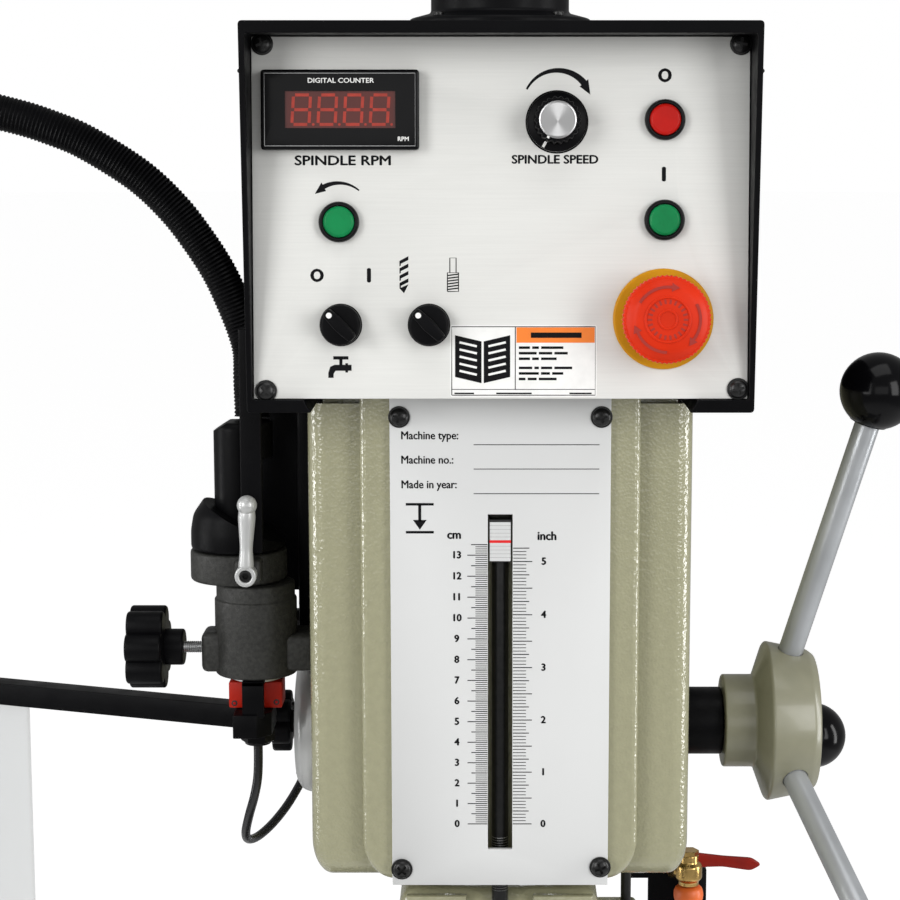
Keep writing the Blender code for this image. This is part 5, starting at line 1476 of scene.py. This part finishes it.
def side_covers():
    body = fused(box((-101.5, 80, 70), (-91.3, 142, 198), edge=1.2),
                 box((-123.5, 94, 93.5), (-96, 141, 197), edge=1.2))
    bolts = [painted(hex_nut(9, 0, 4, in_head(-101.5, y, 80, (-1, 0, 0))), "screw_black")
             for y in (90, 130)]
    piece("side_cover", [body] + bolts, "root", "black_coat",
          ["side_bracket"], rounding=0.4)
    bar = box((-124.8, 34.4, 124), (-114.5, 39.9, 233), HEAD, 0.8, 3)
    piece("lamp_bar", [bar], "root", "black_coat", ["cover_bar"])


# -------------------------------------------------------------- coolant group

VALVE_X, VALVE_Y, VALVE_TOP = 103.7, 145.0, -64.0
VALVE_STEM = VALVE_TOP - 8.0   # height of the lever's axis
HOSE_ROUTE = [(103.7, 145, -82), (103.7, 145, -102), (102.8, 143, -126), (97.9, 138, -151),
              (88.6, 129, -178), (77, 118, -204), (65, 106, -228), (56, 98, -246)]
HOSE_R, HOSE_LINK = 8.2, 12.0
LEVER_DROOP = math.radians(4)


def coolant():
    bracket = fused(box((70, 165.3, -85), (99.5, 171, 60), edge=0.8),
                    box((83.3, 165.3, -150), (115.6, 171, -79.5), edge=0.8))
    bolts = [painted(hex_nut(10, 0, 4.5, in_head(99.4, 165.3, z, (0, -1, 0))), "screw_black")
             for z in (-112, -138)]
    piece("valve_plate", [bracket] + bolts, "root", "black_coat",
          ["valve_bracket"])
    x, y, top = VALVE_X, VALVE_Y, VALVE_TOP
    at = in_head(x, y, top)
    neck = turned([(3.2, 0), (5.4, 0), (5.4, -4), (7.3, -6), (7.3, -13), (5.5, -15),
                   (5.5, -17.4), (3.2, -17.4)], 0.7, at, 48, ring=True)
    solids = [neck, rod(3.6, (x, y, VALVE_STEM), (x, y + 13, VALVE_STEM), 0.4),
              rod(2.3, (x - 5.8, y, top - 10), (x - 7.5, y + 20, top - 18), 0.3),
              painted(hex_nut(9.5, -0.6, 2.4, at), "brass")]
    piece("valve_body", solids, "root", "brass", ["coolant_valve"])
    blade = fillet([(-4, -3.4), (4, -4.2), (20, -2.6), (36, -3.8), (41.7, 0), (36, 3.4),
                    (20, 3.4), (4, 4.2), (-4, 3.4)], 2.2, 4, True)
    pivot = in_head(x, y + 13.5, VALVE_STEM, Y_AXIS, (0, 0, -1))
    droop = (HEAD @ Matrix.Translation((x, y + 16.1, VALVE_STEM))
             @ Matrix.Rotation(LEVER_DROOP, 4, "Y") @ Matrix.Rotation(math.pi / 2, 4, "X"))
    nut = painted(hex_nut(8, 2.3, 3.0, pivot), "bright_alloy")
    piece("valve_handle", [prism(blade, 0, 2.6, droop, 0.7, 3), nut], "valve_lever",
          "lever_red", ["valve_lever"])
    hose()


def hose():
    points = smooth_path(HOSE_ROUTE, 0.9)
    spans = [0.0]
    for a, b in zip(points, points[1:]):
        spans.append(spans[-1] + (b - a).length)
    solids = []
    links = int(spans[-1] / HOSE_LINK)
    for link in range(links + 1):
        low = link * HOSE_LINK
        inside = [i for i, s in enumerate(spans) if low <= s < (link + 1) * HOSE_LINK]
        if len(inside) < 4:
            continue
        radii = []
        for i in inside:
            t = (spans[i] - low) / HOSE_LINK
            taper = 1.0 if link < links - 1 else 1.0 - 0.4 * t
            swell = 0.23 * math.sin(math.pi * min(1, t * 1.25)) ** 0.5 if t < 0.8 else 0.0
            radii.append(HOSE_R * taper * (0.76 + swell))
        colour = "hose_orange" if link % 2 == 0 or link > 3 else "hose_blue"
        run = [points[i] for i in inside]
        solids.append(painted(sweep(run, radii, 28, HEAD), colour))
    piece("coolant_line", solids, "root", "hose_orange", ["coolant_hose"],
          crease=50)


# ------------------------------------------------- column, table and base

TRUNNION_Z = 753.0            # height of the table's tilting axis
TILT_FACE_Y = -280.5          # face that carries the tilt marks
RACK_LOW, RACK_HIGH = 255, 965
CRANK_Y = COLUMN_R + 12.5 + 18.0


def stand():
    dress("base", "cast_iron", 3.0, 3)
    dress("column_flange", "cast_iron", 1.5, 3)
    wall = turned(rectangle(49.5, 1447, 57.5, 55.3), 1.2, WORLD, 128, ring=True)
    piece("column_tube", [wall], "root", "ground_steel", ["column"])
    washers = [turned(rectangle(7.6, 55, 16, 57.4), 0.5, Matrix.Translation((x, y, 0)), 32,
                      ring=True)
               for x in (-190, 190) for y in (-465, 135)]
    piece("anchor_washers", washers, "root", "dull_alloy")
    bolts = []
    for i in range(4):
        spot = Matrix.Translation((*polar(98, TURN * (i + 0.5) / 4), 77.5))
        bolts.append(hex_nut(19, 0, 11, spot))
        bolts.append(turned(rectangle(0, 0, 13, 1.8), 0.4, spot, 32))
    piece("flange_bolts", bolts, "root", "screw_black")


def table_group():
    dress("column_rack", "ground_steel", 0.3)
    collars = [turned([(58.0, z), (73, z), (74, z + 1), (74, z + 13), (73, z + 14),
                       (58.0, z + 14)], 1, WORLD, 96, ring=True)
               for z in (RACK_LOW - 14.6, RACK_HIGH + 3.8)]
    piece("rack_collars", collars, "table_ring", "cast_iron")
    for node, finish, width in (("table_arm", "cast_iron", 1.5),
                                ("work_table", "machined_iron", 1.2),
                                ("table_crank", "ground_steel", 0.8),
                                ("table_lock_lever", "black_gloss", 0.6)):
        dress(node, finish, width, 3)
    grip = turned([(0, 82.4), (10.4, 80.4), (14.4, 70), (13.4, 20), (8.4, 5), (0, 5)], 3,
                  along((100, CRANK_Y, TRUNNION_Z - 92), X_AXIS), 48, 4)
    piece("crank_grip", [grip], "crank", "black_gloss")
    face = along((0, TILT_FACE_Y, TRUNNION_Z), (0, -1, 0))
    marks = [spoke(math.pi / 2 + math.radians(i * 5), 46.8, 46.8 - (4 if i % 3 else 7), 0.5,
                   face, 0.7) for i in range(-9, 10)]
    piece("tilt_scale", [painted(mark, "white_print") for mark in marks], "table",
          "white_print")


# --------------------------------------------------------------- all together

camera()
studio()
floor()
materials()
switch_cable()
for make in (panel, display, controls, head_casting, scale_plate, drive_housing, spindle_cap,
             motor, drive, quill_group, feed_handle, feed_ends, guard_mount, interlock, guard,
             clamp_group, side_covers, coolant, stand, table_group):
    make()
